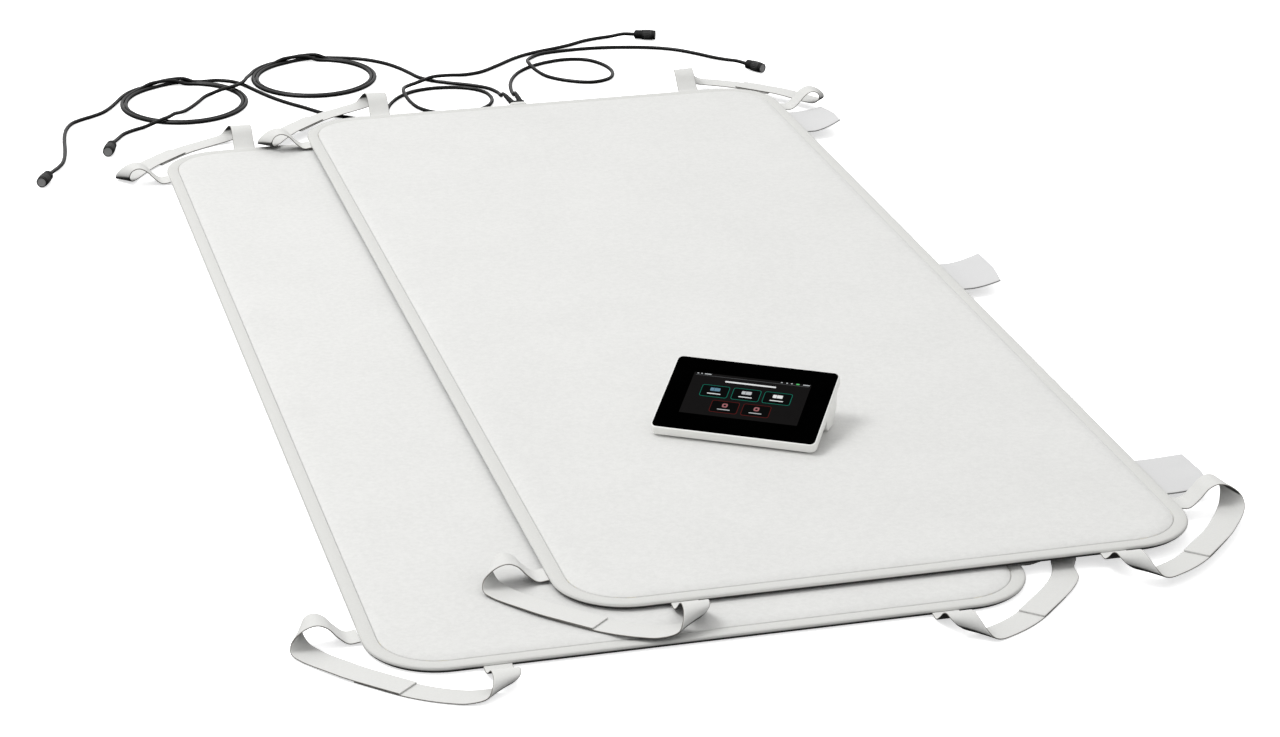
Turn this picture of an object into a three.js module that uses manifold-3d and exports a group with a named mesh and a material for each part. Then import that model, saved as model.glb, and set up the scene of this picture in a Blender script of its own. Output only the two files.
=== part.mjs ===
// Infrared sauna blanket: two heated mats, their corner straps and side tabs, four plug-in
// leads and a table-top touch controller. Millimetres, +Z up. The origin is the centre of the
// lower mat's underside, with the mats' length along Y. Each joint's parts keep a small gap.

import * as THREE from 'three';
import { mergeVertices } from 'three/addons/utils/BufferGeometryUtils.js';
import Module from 'manifold-3d';

const wasm = await Module();
wasm.setup();

// ---- driving dimensions ----
const GAP = 0.3;

const MAT_WIDTH = 760;
const MAT_LENGTH = 1800;
const CORNER_RADIUS = 85;
const BINDING_WIDTH = 17;
const BINDING_HEIGHT = 9;
const BINDING_CHAMFER = 2.5;
const BOTTOM_COVER = 1.2;
const FOAM_THICKNESS = 6.7;
const HEATER_THICKNESS = 1;
const TOP_COVER = 1.9;
const COVER_CHAMFER = 0.6;
const UPPER_SHIFT = { x: 228, y: 74 };

const HEATER_RUNS = 8;
const HEATER_STRIP = 46;
const HEATER_MARGIN = 40;

const STRAP_WIDTH = 32;
const STRAP_THICKNESS = 1.6;
const STRAP_STEPS = 52;
const STRAP_ARCH = 29.5;
const PRESSED_ARCH = 10;
const NEAR_END_ARCH = { lower: { left: 20, right: 25 }, upper: { left: 25, right: 25 } };
const STRAP_ROOT_HEIGHT = 4.2;
const SIDE_STRAP_INSET = 107;
const END_STRAP_INSET = { left: 132, right: 121 };

const TAB_WIDTH = 100;
const TAB_REACH = 58;
const TAB_THICKNESS = 2;
const TAB_STEPS = 4;
const TAB_CLEARANCE = 0.8;
const TAB_HEIGHT = 4.6;
const TAB_CURL = 6;
const TAB_END_INSET = 187;
const TAB_MIDDLE = -5;

const GLAND_X = -25;
const GLAND_WIDTH = 40;
const GLAND_DEPTH = 27;
const GLAND_HEIGHT = 8.4;
const GLAND_LIFT = 0.5;
const GLAND_CHAMFER = 1.5;
const BOOT_AXIS_HEIGHT = 4.8;
const BOOT_SPACING = 13;
const BOOT_SPREAD = 2.5;
const BOOT_LENGTH = 31;
const BOOT_ROOT_RADIUS = 4.3;
const BOOT_TIP_RADIUS = 3.6;
const YOKE = { thickness: 3, narrower: 2, lower: 1.2 };

const CORD_DIAMETER = 6;
const COIL_MEAN_RADIUS = 101;
const COIL_WIDTH = 13;
const COIL_HEIGHT = 6.4;
const COIL_CORNER = 2.4;
const COIL_A = { x: -81, y: 1255, wide: 0.96, long: 1.005 };
const COIL_B = { x: -307, y: 1172.5, wide: 0.955, long: 1.035 };

const PLUG_RADIUS = 8.5;
const PLUG_NECK_RADIUS = 6.8;
const PLUG_NOSE_RADIUS = 8.2;
const PLUG_BOOT = 13;
const PLUG_BOOT_RADIUS = { start: 5.4, full: 7.8 };
const PLUG_BOOT_TAPER = 3;
const PLUG_SHOULDER = 2;
const RING_LENGTH = 16;
const PLUG_NOSE = 5;
const RING_CLEARANCE = 0.3;
const RING_RADIUS = 8.8;
const RING_RIB_DEPTH = 0.5;
const RING_RIBS = 18;

const CONTROLLER_PLACE = { x: 146.3, y: -439.8 };
const CONTROLLER_YAW = THREE.MathUtils.degToRad(-31.9);
const SCREEN_TILT = THREE.MathUtils.degToRad(20.1);
const GLASS_WIDTH = 205;
const GLASS_DEPTH = 130;
const GLASS_THICKNESS = 1.8;
const GLASS_RADIUS = 6;
const RIM = 2;
const SLAB_THICKNESS = 13;
const SLAB_STANDOFF = 1.5;
const SLAB_CHAMFER = 1.2;
const WALL = 2.5;
const DISPLAY_WIDTH = 165;
const DISPLAY_DEPTH = 104;
const DISPLAY_THICKNESS = 6;
const WEDGE_SIDE_STEP = 2.5;
const WEDGE_FRONT_SETBACK = 9;
const WEDGE_FRONT = 76;
const WEDGE_REAR = 117;
const WEDGE_TOE = { y: 97, height: 0.9 };
const WEDGE_HEEL_HEIGHT = 17;
const BOARD = { width: 170, depth: 20, thickness: 1.6, height: 12 };
const SOCKET_PANEL = { width: 132, height: 17, thickness: 1.6, x: -12, z: 30 };
const SOCKET_PITCH = 25;
const SOCKET_MARGIN = 15;
const SOCKET_RADIUS = 7;
const SOCKET_REACH = 3;
const SOCKET_RECESS = 2;
const SOCKET_BORE = 4.6;
const POWER_INLET_RADIUS = 4.5;
const BUTTON = { x: 82, z: 30, radius: 4.5, proud: 1.8, clearance: 0.3 };
const FOOT = { width: 170, depth: 12, thickness: 0.6 };

// ---- derived sizes ----
const TAB_PLACES = {
  near: TAB_END_INSET - MAT_LENGTH / 2, middle: TAB_MIDDLE, far: MAT_LENGTH / 2 - TAB_END_INSET,
};
const FRONT_EDGE_HEIGHT = SLAB_THICKNESS + SLAB_STANDOFF;
const MAT_THICKNESS = BOTTOM_COVER + FOAM_THICKNESS + HEATER_THICKNESS + TOP_COVER + 3 * GAP;
const UPPER_Z = MAT_THICKNESS + GAP;
const CORE_WIDTH = MAT_WIDTH - 2 * (BINDING_WIDTH + GAP);
const CORE_LENGTH = MAT_LENGTH - 2 * (BINDING_WIDTH + GAP);
const CORE_RADIUS = CORNER_RADIUS - BINDING_WIDTH - GAP;
const CORD_RADIUS = CORD_DIAMETER / 2;

// ---- colours and finishes ----
const finish = (color, roughness, metalness = 0) =>
  new THREE.MeshStandardMaterial({ color, roughness, metalness });
const FINISHES = {
  cover: () => finish(0xeaeae8, 0.85),
  binding: () => finish(0xe0e0de, 0.9),
  backing: () => finish(0xdcdcda, 0.9),
  foam: () => finish(0xf2efe6, 0.95),
  heater: () => finish(0x2a2a2e, 0.6),
  webbing: () => finish(0xeeeeec, 0.85),
  tab: () => finish(0xe2e2e2, 0.8),
  rubber: () => finish(0x151517, 0.45),
  cord: () => finish(0x1a1a1c, 0.4),
  steel: () => finish(0x8f9296, 0.35, 0.9),
  housing: () => finish(0xefefec, 0.4),
  glass: () => finish(0x050506, 0.05),
  display: () => finish(0x202226, 0.5),
  board: () => finish(0x1f5c3a, 0.6),
  button: () => finish(0xc9cbcd, 0.45),
};

const blanket = new THREE.Group();

function place(parent, name, geometry, material) {
  const mesh = new THREE.Mesh(geometry, FINISHES[material]());
  mesh.name = name;
  parent.add(mesh);
  return mesh;
}

function groupAt(parent, x, y, z) {
  const group = new THREE.Group();
  group.position.set(x, y, z);
  parent.add(group);
  return group;
}

// ---- shapes and solids ----
function roundedRect(width, depth, radius, centreY = 0) {
  const [w, d] = [width / 2 - radius, depth / 2 - radius];
  const shape = new THREE.Shape();
  shape.absarc(w, centreY + d, radius, 0, Math.PI / 2);
  shape.absarc(-w, centreY + d, radius, Math.PI / 2, Math.PI);
  shape.absarc(-w, centreY - d, radius, Math.PI, 1.5 * Math.PI);
  shape.absarc(w, centreY - d, radius, 1.5 * Math.PI, 2 * Math.PI);
  shape.closePath();
  return shape;
}

function slab(shape, bottom, thickness, chamfer = 0, curveSegments = 6) {
  const geometry = new THREE.ExtrudeGeometry(shape, {
    depth: thickness - 2 * chamfer,
    bevelEnabled: chamfer > 0,
    bevelThickness: chamfer,
    bevelSize: chamfer,
    bevelOffset: -chamfer,
    bevelSegments: 1,
    curveSegments,
  });
  return geometry.translate(0, 0, bottom + chamfer);
}

function toManifold(geometry) {
  const bare = new THREE.BufferGeometry();
  bare.setAttribute('position', geometry.getAttribute('position').clone());
  if (geometry.index) bare.setIndex(geometry.index.clone());
  const merged = mergeVertices(bare, 1e-4);
  return new wasm.Manifold(new wasm.Mesh({
    numProp: 3,
    vertProperties: Float32Array.from(merged.getAttribute('position').array),
    triVerts: Uint32Array.from(merged.index.array),
  }));
}

function toGeometry(solid) {
  const mesh = solid.getMesh();
  const geometry = new THREE.BufferGeometry();
  geometry.setAttribute('position', new THREE.BufferAttribute(mesh.vertProperties, 3));
  geometry.setIndex(new THREE.BufferAttribute(mesh.triVerts, 1));
  return geometry;
}

const cut = (body, ...tools) => toGeometry(
  tools.reduce((solid, tool) => solid.subtract(toManifold(tool)), toManifold(body)));
const join = (body, ...others) => toGeometry(
  others.reduce((solid, other) => solid.add(toManifold(other)), toManifold(body)));

// A cylinder that runs along +Y from a start point.
function rod(radius, length, x, y, z, segments = 20) {
  return new THREE.CylinderGeometry(radius, radius, length, segments).translate(x, y + length / 2, z);
}

// A flat band swept along rows of [along X, along Y, height, direction of its width in degrees].
function band(rows, width, thickness, steps, mirrorX = 1, mirrorY = 1) {
  const curve = new THREE.CatmullRomCurve3(
    rows.map(([x, y, z]) => new THREE.Vector3(x, y, z)), false, 'centripetal');
  const geometry = new THREE.BoxGeometry(1, width, thickness, steps, 1, 1);
  const position = geometry.getAttribute('position');
  for (let i = 0; i < position.count; i++) {
    const t = THREE.MathUtils.clamp(position.getX(i) + 0.5, 0, 1);
    const row = Math.min(Math.floor(t * (rows.length - 1)), rows.length - 2);
    const part = t * (rows.length - 1) - row;
    const angle = THREE.MathUtils.degToRad(
      THREE.MathUtils.lerp(rows[row][3], rows[row + 1][3], part));
    const across = new THREE.Vector3(Math.cos(angle), Math.sin(angle), 0);
    const out = curve.getTangent(t).cross(across).normalize();
    const point = curve.getPoint(t)
      .addScaledVector(across, position.getY(i)).addScaledVector(out, position.getZ(i));
    position.setXYZ(i, mirrorX * point.x, mirrorY * point.y, point.z);
  }
  if (mirrorX * mirrorY < 0) geometry.index.array.reverse();
  return geometry;
}

// A free cord through hand-chosen points [x, y, z].
function cord(points) {
  const curve = new THREE.CatmullRomCurve3(
    points.map((point) => new THREE.Vector3(...point)), false, 'centripetal');
  const section = new THREE.Shape();
  section.absarc(0, 0, CORD_RADIUS, 0, 2 * Math.PI);
  const steps = Math.min(80, Math.round(curve.getLength() / (2.8 * CORD_DIAMETER)));
  return new THREE.ExtrudeGeometry(section, { steps, curveSegments: 4, extrudePath: curve });
}

// ---- a mat: two covers, foam, heating element, bound edge, cable gland and strain relief ----
function heaterShape() {
  // A meander of equal strips: every gap between runs is cut in from alternate ends.
  const pitch = (CORE_WIDTH - 2 * HEATER_MARGIN - HEATER_STRIP) / (HEATER_RUNS - 1);
  const half = pitch * (HEATER_RUNS - 1) / 2 + HEATER_STRIP / 2;
  const end = CORE_LENGTH / 2 - HEATER_MARGIN;
  const shape = new THREE.Shape();
  shape.moveTo(-half, -end);
  for (let gap = 1; gap < HEATER_RUNS; gap += 2) {
    const left = -half + gap * pitch - pitch + HEATER_STRIP;
    const right = left + pitch - HEATER_STRIP;
    shape.lineTo(left, -end).lineTo(left, end - HEATER_STRIP);
    shape.lineTo(right, end - HEATER_STRIP).lineTo(right, -end);
  }
  shape.lineTo(half, -end).lineTo(half, end);
  for (let gap = HEATER_RUNS - 2; gap > 0; gap -= 2) {
    const left = -half + gap * pitch - pitch + HEATER_STRIP;
    const right = left + pitch - HEATER_STRIP;
    shape.lineTo(right, end).lineTo(right, -end + HEATER_STRIP);
    shape.lineTo(left, -end + HEATER_STRIP).lineTo(left, end);
  }
  shape.lineTo(-half, end).closePath();
  return shape;
}

function addMat(name, body) {
  const core = roundedRect(CORE_WIDTH, CORE_LENGTH, CORE_RADIUS);
  const edge = roundedRect(MAT_WIDTH, MAT_LENGTH, CORNER_RADIUS);
  edge.holes.push(roundedRect(MAT_WIDTH - 2 * BINDING_WIDTH, MAT_LENGTH - 2 * BINDING_WIDTH,
    CORNER_RADIUS - BINDING_WIDTH));
  const foamBottom = BOTTOM_COVER + GAP;
  const heaterBottom = foamBottom + FOAM_THICKNESS + GAP;
  const coverBottom = heaterBottom + HEATER_THICKNESS + GAP;
  place(body, `${name}_bottom_cover`, slab(core, 0, BOTTOM_COVER), 'backing');
  place(body, `${name}_foam_core`, slab(core, foamBottom, FOAM_THICKNESS), 'foam');
  place(body, `${name}_heating_element`, slab(heaterShape(), heaterBottom, HEATER_THICKNESS), 'heater');
  place(body, `${name}_top_cover`, slab(core, coverBottom, TOP_COVER, COVER_CHAMFER), 'cover');
  place(body, `${name}_edge_binding`, slab(edge, 0, BINDING_HEIGHT, BINDING_CHAMFER), 'binding');
  addGland(name, body);
}

function addGland(name, body) {
  const far = MAT_LENGTH / 2 + GAP;
  const outline = new THREE.Shape();
  const half = GLAND_WIDTH / 2;
  outline.moveTo(half, far).lineTo(half, far + GLAND_DEPTH - half / 2);
  outline.quadraticCurveTo(half, far + GLAND_DEPTH, half / 2, far + GLAND_DEPTH);
  outline.lineTo(-half / 2, far + GLAND_DEPTH);
  outline.quadraticCurveTo(-half, far + GLAND_DEPTH, -half, far + GLAND_DEPTH - half / 2);
  outline.lineTo(-half, far).closePath();
  const gland = slab(outline, GLAND_LIFT, GLAND_HEIGHT, GLAND_CHAMFER, 4).translate(GLAND_X, 0, 0);
  place(body, `${name}_cable_gland`, gland, 'binding');

  const yokeStart = far + GLAND_DEPTH + GAP;
  const yokeWidth = BOOT_SPACING + 2 * BOOT_ROOT_RADIUS - YOKE.narrower;
  const yokeHeight = 2 * BOOT_ROOT_RADIUS - YOKE.lower;
  const yoke = new THREE.BoxGeometry(yokeWidth, YOKE.thickness, yokeHeight)
    .translate(GLAND_X, yokeStart + YOKE.thickness / 2, BOOT_AXIS_HEIGHT);
  const boots = [-1, 1].map((side) => {
    const boot = new THREE.CylinderGeometry(BOOT_TIP_RADIUS, BOOT_ROOT_RADIUS, BOOT_LENGTH, 12)
      .translate(0, BOOT_LENGTH / 2, 0);
    return boot.rotateZ(-side * Math.asin(BOOT_SPREAD / BOOT_LENGTH))
      .translate(GLAND_X + side * BOOT_SPACING / 2, yokeStart + YOKE.thickness / 2, BOOT_AXIS_HEIGHT);
  });
  place(body, `${name}_strain_relief`, join(yoke, ...boots), 'rubber');
}

// ---- corner straps: a side band over an end band at each corner, overlapping at its middle ----
// Rows are in the corner's own frame, outward from the mat's square corner.
const flatten = (rows, height) => rows.map(([x, y, z, angle]) => [
  x, y, z <= STRAP_ROOT_HEIGHT ? z : STRAP_ROOT_HEIGHT
    + (z - STRAP_ROOT_HEIGHT) * (height - STRAP_ROOT_HEIGHT) / (STRAP_ARCH - STRAP_ROOT_HEIGHT), angle]);

function sideBand() {
  const y = -SIDE_STRAP_INSET;
  return [
    [GAP, y, STRAP_ROOT_HEIGHT, 90],
    [13, y, 3.6, 90],
    [25, y, 13, 90],
    [36, y, 25, 90],
    [47, y, STRAP_ARCH, 88],
    [59, y + 1, 26, 80],
    [68, y + 5, 15, 62],
    [67, y + 14, 5, 45],
    [58, -77, 2.2, 34],
    [47, -60, 2.4, 31],
    [34, -42, 3.2, 34],
    [20, -24, 3.4, 38],
    [0, -3, 3.4, 41],
    [-29, 26, 3.4, 43],
  ];
}

// The same bands where another mat presses their rolls to a flat fold.
function pressedSideBand() {
  const y = -SIDE_STRAP_INSET;
  return [
    [GAP, y, STRAP_ROOT_HEIGHT, 90],
    [13, y, 3.6, 90],
    [25, y, 6.2, 88],
    [36, y, 9, 84],
    [47, y, PRESSED_ARCH, 76],
    [56, y + 1, PRESSED_ARCH - 0.4, 69],
    [61.5, y + 3.6, 6.6, 67],
    [58.5, y + 9, 3.4, 66],
    [52, y + 18, 2.3, 55],
    [45, -62, 2.4, 42],
    [34, -42, 3.2, 36],
    [20, -24, 3.4, 38],
    [0, -3, 3.4, 41],
    [-29, 26, 3.4, 43],
  ];
}

function pressedEndBand(inset) {
  const x = -inset;
  return [
    [x, GAP, STRAP_ROOT_HEIGHT, 0],
    [x, 13, 3.6, 0],
    [x, 25, 6.2, 2],
    [x, 36, 9, 6],
    [x, 47, PRESSED_ARCH, 14],
    [x + 1, 56, PRESSED_ARCH - 0.4, 21],
    [x + 3.6, 61.5, 6.4, 23],
    [x + 9, 59, 3.2, 24],
    [x + 20, 55, 2.2, 37],
    [-72, 49, 1.5, 54],
    [-48, 38, 1.3, 57],
    [-29, 24, 1.3, 51],
    [-8, 4, 1.3, 46],
    [12, -17, 1.3, 44],
  ];
}

function endBand(inset, height) {
  const x = -inset;
  return flatten([
    [x, GAP, STRAP_ROOT_HEIGHT, 0],
    [x, 13, 3.6, 0],
    [x, 25, 13, 0],
    [x, 36, 25, 0],
    [x + 0.5, 46, STRAP_ARCH, 3],
    [x + 2.5, 57, 26, 12],
    [x + 8, 63.5, 17, 28],
    [x + 17, 65.5, 8, 47],
    [-90, 62, 2.6, 64],
    [-70, 53, 1.5, 68],
    [-48, 40, 1.3, 61],
    [-29, 25, 1.3, 51],
    [-8, 4, 1.3, 46],
    [12, -17, 1.3, 44],
  ], height);
}

function addStrap(name, body, sideways, endways, rows) {
  const end = endways > 0 ? 'far' : 'near';
  const side = sideways > 0 ? 'right' : 'left';
  const corner = groupAt(body, sideways * MAT_WIDTH / 2, endways * MAT_LENGTH / 2, 0);
  for (const [piece, path] of Object.entries(rows)) {
    const geometry = band(path, STRAP_WIDTH, STRAP_THICKNESS, STRAP_STEPS, sideways, endways);
    place(corner, `${name}_${end}_${side}_${piece}`, geometry, 'webbing');
  }
}

// The lower mat's straps under the upper mat lie pressed down by it.
function addStraps(name, body, trapped) {
  for (const endways of [-1, 1]) {
    for (const sideways of [-1, 1]) {
      const side = sideways > 0 ? 'right' : 'left';
      const inset = END_STRAP_INSET[side];
      const under = trapped && sideways > 0;
      const far = endways > 0;
      const height = far ? STRAP_ARCH : NEAR_END_ARCH[name][side];
      addStrap(name, body, sideways, endways, {
        side_band: under ? pressedSideBand() : sideBand(),
        end_band: under && far ? pressedEndBand(inset) : endBand(inset, height),
      });
    }
  }
}

// ---- side tabs: three flaps along the right-hand edge ----
function addTabs(name, body) {
  const start = MAT_WIDTH / 2 + TAB_CLEARANCE;
  for (const [at, y] of Object.entries(TAB_PLACES)) {
    const rows = [
      [start, y, TAB_HEIGHT, 90],
      [start + TAB_REACH / 3, y, TAB_HEIGHT, 90],
      [start + 2 * TAB_REACH / 3, y, TAB_HEIGHT + TAB_CURL / 3, 90],
      [start + TAB_REACH, y, TAB_HEIGHT + TAB_CURL, 90],
    ];
    place(body, `${name}_${at}_tab`, band(rows, TAB_WIDTH, TAB_THICKNESS, TAB_STEPS), 'tab');
  }
}

// ---- leads ----
const FLOOR = CORD_RADIUS + 0.1;
// High enough to lie over another lead or over a coil.
const OVER_CORD = COIL_HEIGHT + CORD_RADIUS + GAP;
const PLUG_AXIS = RING_RADIUS + 0.1;
const LOWER_EXIT = BOOT_AXIS_HEIGHT;
const UPPER_EXIT = UPPER_Z + BOOT_AXIS_HEIGHT;

const LEAD_ROUTES = {
  // Upper mat's left lead: over the floor to the right-hand coil, then on to its plug.
  lead_a_run: [
    [194, 1036, UPPER_EXIT], [193, 1047, UPPER_EXIT - 1], [194, 1061, 9.5], [196, 1077, 3.8],
    [195, 1096, FLOOR], [185, 1122, FLOOR], [160, 1147, FLOOR], [129, 1167, FLOOR],
    [103, 1188, FLOOR], [86, 1212, FLOOR], [77, 1238, FLOOR], [65, 1270, FLOOR],
    [47, 1303, FLOOR], [22, 1330, FLOOR], [-3, 1346, FLOOR], [-31, 1356, FLOOR],
  ],
  lead_a_tail: [
    [-173.7, 1311.3, 3.4], [-180, 1296, 4.4], [-186, 1278, 7.2], [-193, 1258, OVER_CORD],
    [-200, 1241, OVER_CORD], [-209, 1228, OVER_CORD], [-219, 1219, OVER_CORD],
    [-230, 1213, OVER_CORD], [-243, 1210, 7.6], [-256, 1207, 4.4], [-266, 1201, FLOOR],
    [-275, 1188, FLOOR], [-284, 1171, FLOOR], [-297, 1149, FLOOR], [-311, 1128, 3.6],
    [-322, 1111, 6.4], [-332, 1097, OVER_CORD], [-343, 1083, OVER_CORD],
    [-355, 1072, OVER_CORD], [-368, 1065, 7.6], [-384, 1059, 4], [-403, 1049, FLOOR],
    [-420, 1034, FLOOR], [-431, 1014, 3.4], [-438, 995, 5.6], [-443, 980, 8.2],
    [-446.4, 968.4, PLUG_AXIS],
  ],
  // Lower mat's left lead: to the left-hand coil, then on to its plug.
  lead_b_run: [
    [-34, 963, LOWER_EXIT], [-36, 975, 4.3], [-44, 998, 3.3], [-59, 1021, FLOOR],
    [-76, 1037, FLOOR], [-92, 1050, FLOOR], [-107, 1070, FLOOR], [-124, 1097, FLOOR],
    [-145, 1127, FLOOR], [-163, 1158, FLOOR], [-178, 1190, FLOOR], [-190, 1219, FLOOR],
    [-200, 1243, FLOOR], [-214, 1264, FLOOR], [-237, 1278.5, FLOOR], [-264.5, 1278.9, FLOOR],
  ],
  lead_b_tail: [
    [-403.4, 1221.7, 3.4], [-415, 1197, FLOOR], [-427, 1173, FLOOR], [-441, 1152, FLOOR],
    [-458, 1137, FLOOR], [-477, 1124, FLOOR], [-493, 1109, FLOOR], [-504, 1085, FLOOR],
    [-511, 1053, FLOOR], [-515, 1018, FLOOR], [-518, 980, FLOOR], [-522, 945, FLOOR],
    [-528, 915, FLOOR], [-538, 889, 4.2], [-547, 867, 6.8], [-555.6, 846.4, PLUG_AXIS],
  ],
  // Upper mat's right lead: one loose loop over itself, then to its plug.
  lead_c: [
    [212, 1036, UPPER_EXIT], [213, 1047, UPPER_EXIT - 1], [215, 1061, 9.5], [217, 1078, 3.8],
    [219, 1104, FLOOR], [227, 1143, FLOOR], [243, 1181, FLOOR], [262, 1207, FLOOR],
    [285, 1226, FLOOR], [312, 1240, FLOOR], [345, 1247, FLOOR], [378, 1237, FLOOR],
    [399, 1203, FLOOR], [404, 1160, FLOOR], [390, 1125, FLOOR], [358, 1112, FLOOR],
    [320, 1131, FLOOR], [293, 1162, 3.4], [281, 1188, 6.6], [276, 1218, OVER_CORD],
    [280, 1248, 6.6], [291, 1271, 3.4], [312, 1289, FLOOR], [366, 1299, FLOOR],
    [415, 1299, FLOOR], [463, 1290, FLOOR], [505, 1276, FLOOR], [538, 1256, FLOOR],
    [567, 1225, FLOOR], [588, 1195, 3.6], [604, 1170, 5.6], [617, 1146, 9],
    [627.4, 1128.3, PLUG_AXIS],
  ],
  // Lower mat's right lead: a loop partly under the upper mat's overhang, then to its plug.
  lead_d: [
    [-16, 963, LOWER_EXIT], [-14, 976, 4.3], [-9, 1002, 3.3], [0, 1040, FLOOR],
    [12, 1075, FLOOR], [32, 1109, FLOOR], [59, 1134, FLOOR], [86, 1144, FLOOR],
    [113, 1145, FLOOR], [140, 1138, FLOOR], [161, 1124, FLOOR], [175, 1103, FLOOR],
    [179, 1080, FLOOR], [176, 1054, FLOOR], [164, 1030, FLOOR], [142, 1012, FLOOR],
    [116, 1005, FLOOR], [91, 1009, FLOOR], [69, 1024, FLOOR], [54, 1048, 3.4],
    [46, 1077, 5.4], [43, 1101, 8.8], [44, 1123, OVER_CORD], [51, 1147, 8],
    [76, 1169, 7.6], [105, 1186, OVER_CORD], [132, 1197, 7], [160, 1204, 3.6],
    [190, 1213, FLOOR], [224, 1240, FLOOR], [262, 1275, FLOOR], [287, 1292, FLOOR],
    [313, 1304, FLOOR], [340, 1314, FLOOR], [370, 1327, FLOOR], [400, 1345, FLOOR],
    [425, 1354, FLOOR], [450, 1355, 4.6], [472, 1350, 8.8], [489.2, 1343, PLUG_AXIS],
  ],
};

function coilRing(coil) {
  const [inner, outer] = [COIL_MEAN_RADIUS - COIL_WIDTH / 2, COIL_MEAN_RADIUS + COIL_WIDTH / 2];
  const profile = [
    [inner, 0], [outer, 0], [outer, COIL_HEIGHT - COIL_CORNER], [outer - COIL_CORNER, COIL_HEIGHT],
    [inner + COIL_CORNER, COIL_HEIGHT], [inner, COIL_HEIGHT - COIL_CORNER], [inner, 0],
  ].map(([r, z]) => new THREE.Vector2(r, z));
  return new THREE.LatheGeometry(profile, 32).rotateX(Math.PI / 2)
    .scale(coil.wide, coil.long, 1).translate(coil.x, coil.y, 0);
}

// A round screw plug lying on its side: boot, shoulder, neck and nose along +Y from the cord.
function plugBody() {
  const neck = PLUG_BOOT + PLUG_SHOULDER;
  const nose = neck + RING_LENGTH + 2 * RING_CLEARANCE;
  const profile = [
    [0, 0], [PLUG_BOOT_RADIUS.start, 0], [PLUG_BOOT_RADIUS.full, PLUG_BOOT_TAPER],
    [PLUG_BOOT_RADIUS.full, PLUG_BOOT], [PLUG_RADIUS, PLUG_BOOT],
    [PLUG_RADIUS, neck], [PLUG_NECK_RADIUS, neck],
    [PLUG_NECK_RADIUS, nose], [PLUG_NOSE_RADIUS, nose],
    [PLUG_NOSE_RADIUS, nose + PLUG_NOSE], [0, nose + PLUG_NOSE],
  ].map(([r, y]) => new THREE.Vector2(r, y));
  return new THREE.LatheGeometry(profile, 16);
}

function plugRing() {
  const shape = new THREE.Shape();
  for (let i = 0; i < 2 * RING_RIBS; i++) {
    const r = RING_RADIUS - (i % 2 ? RING_RIB_DEPTH : 0);
    const angle = i * Math.PI / RING_RIBS;
    shape[i ? 'lineTo' : 'moveTo'](r * Math.cos(angle), r * Math.sin(angle));
  }
  shape.closePath();
  const bore = new THREE.Path();
  bore.absarc(0, 0, PLUG_NECK_RADIUS + RING_CLEARANCE, 0, 2 * Math.PI, true);
  shape.holes.push(bore);
  const start = PLUG_BOOT + PLUG_SHOULDER + RING_CLEARANCE;
  return new THREE.ExtrudeGeometry(shape, { depth: RING_LENGTH, bevelEnabled: false, curveSegments: 8 })
    .rotateX(-Math.PI / 2).translate(0, start, 0);
}

function addPlug(name, route) {
  const [last, before] = [route.at(-1), route.at(-2)];
  const heading = Math.atan2(last[1] - before[1], last[0] - before[0]);
  const axis = groupAt(blanket, last[0] + GAP * Math.cos(heading), last[1] + GAP * Math.sin(heading),
    PLUG_AXIS);
  axis.rotation.z = heading - Math.PI / 2;
  place(axis, `${name}_plug`, plugBody(), 'rubber');
  place(axis, `${name}_coupling_ring`, plugRing(), 'steel');
}

function addLeads() {
  for (const [name, route] of Object.entries(LEAD_ROUTES)) place(blanket, name, cord(route), 'cord');
  place(blanket, 'lead_a_coil', coilRing(COIL_A), 'cord');
  place(blanket, 'lead_b_coil', coilRing(COIL_B), 'cord');
  addPlug('lead_a', LEAD_ROUTES.lead_a_tail);
  addPlug('lead_b', LEAD_ROUTES.lead_b_tail);
  addPlug('lead_c', LEAD_ROUTES.lead_c);
  addPlug('lead_d', LEAD_ROUTES.lead_d);
}

// ---- controller: a tilted screen slab on a wedge-shaped rear housing ----
const TILT_COS = Math.cos(SCREEN_TILT);
const TILT_SIN = Math.sin(SCREEN_TILT);
// A point of the slab's side view: distance up the slope and height off the glass face.
const onSlope = (up, off) => [
  up * TILT_COS - off * TILT_SIN, FRONT_EDGE_HEIGHT + up * TILT_SIN + off * TILT_COS];

function extrudeAcross(profile, halfWidth) {
  const shape = new THREE.Shape(profile.map(([y, z]) => new THREE.Vector2(y, z)));
  return new THREE.ExtrudeGeometry(shape, { depth: 2 * halfWidth, bevelEnabled: false })
    .rotateX(Math.PI / 2).rotateZ(Math.PI / 2).translate(-halfWidth, 0, 0);
}

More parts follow.
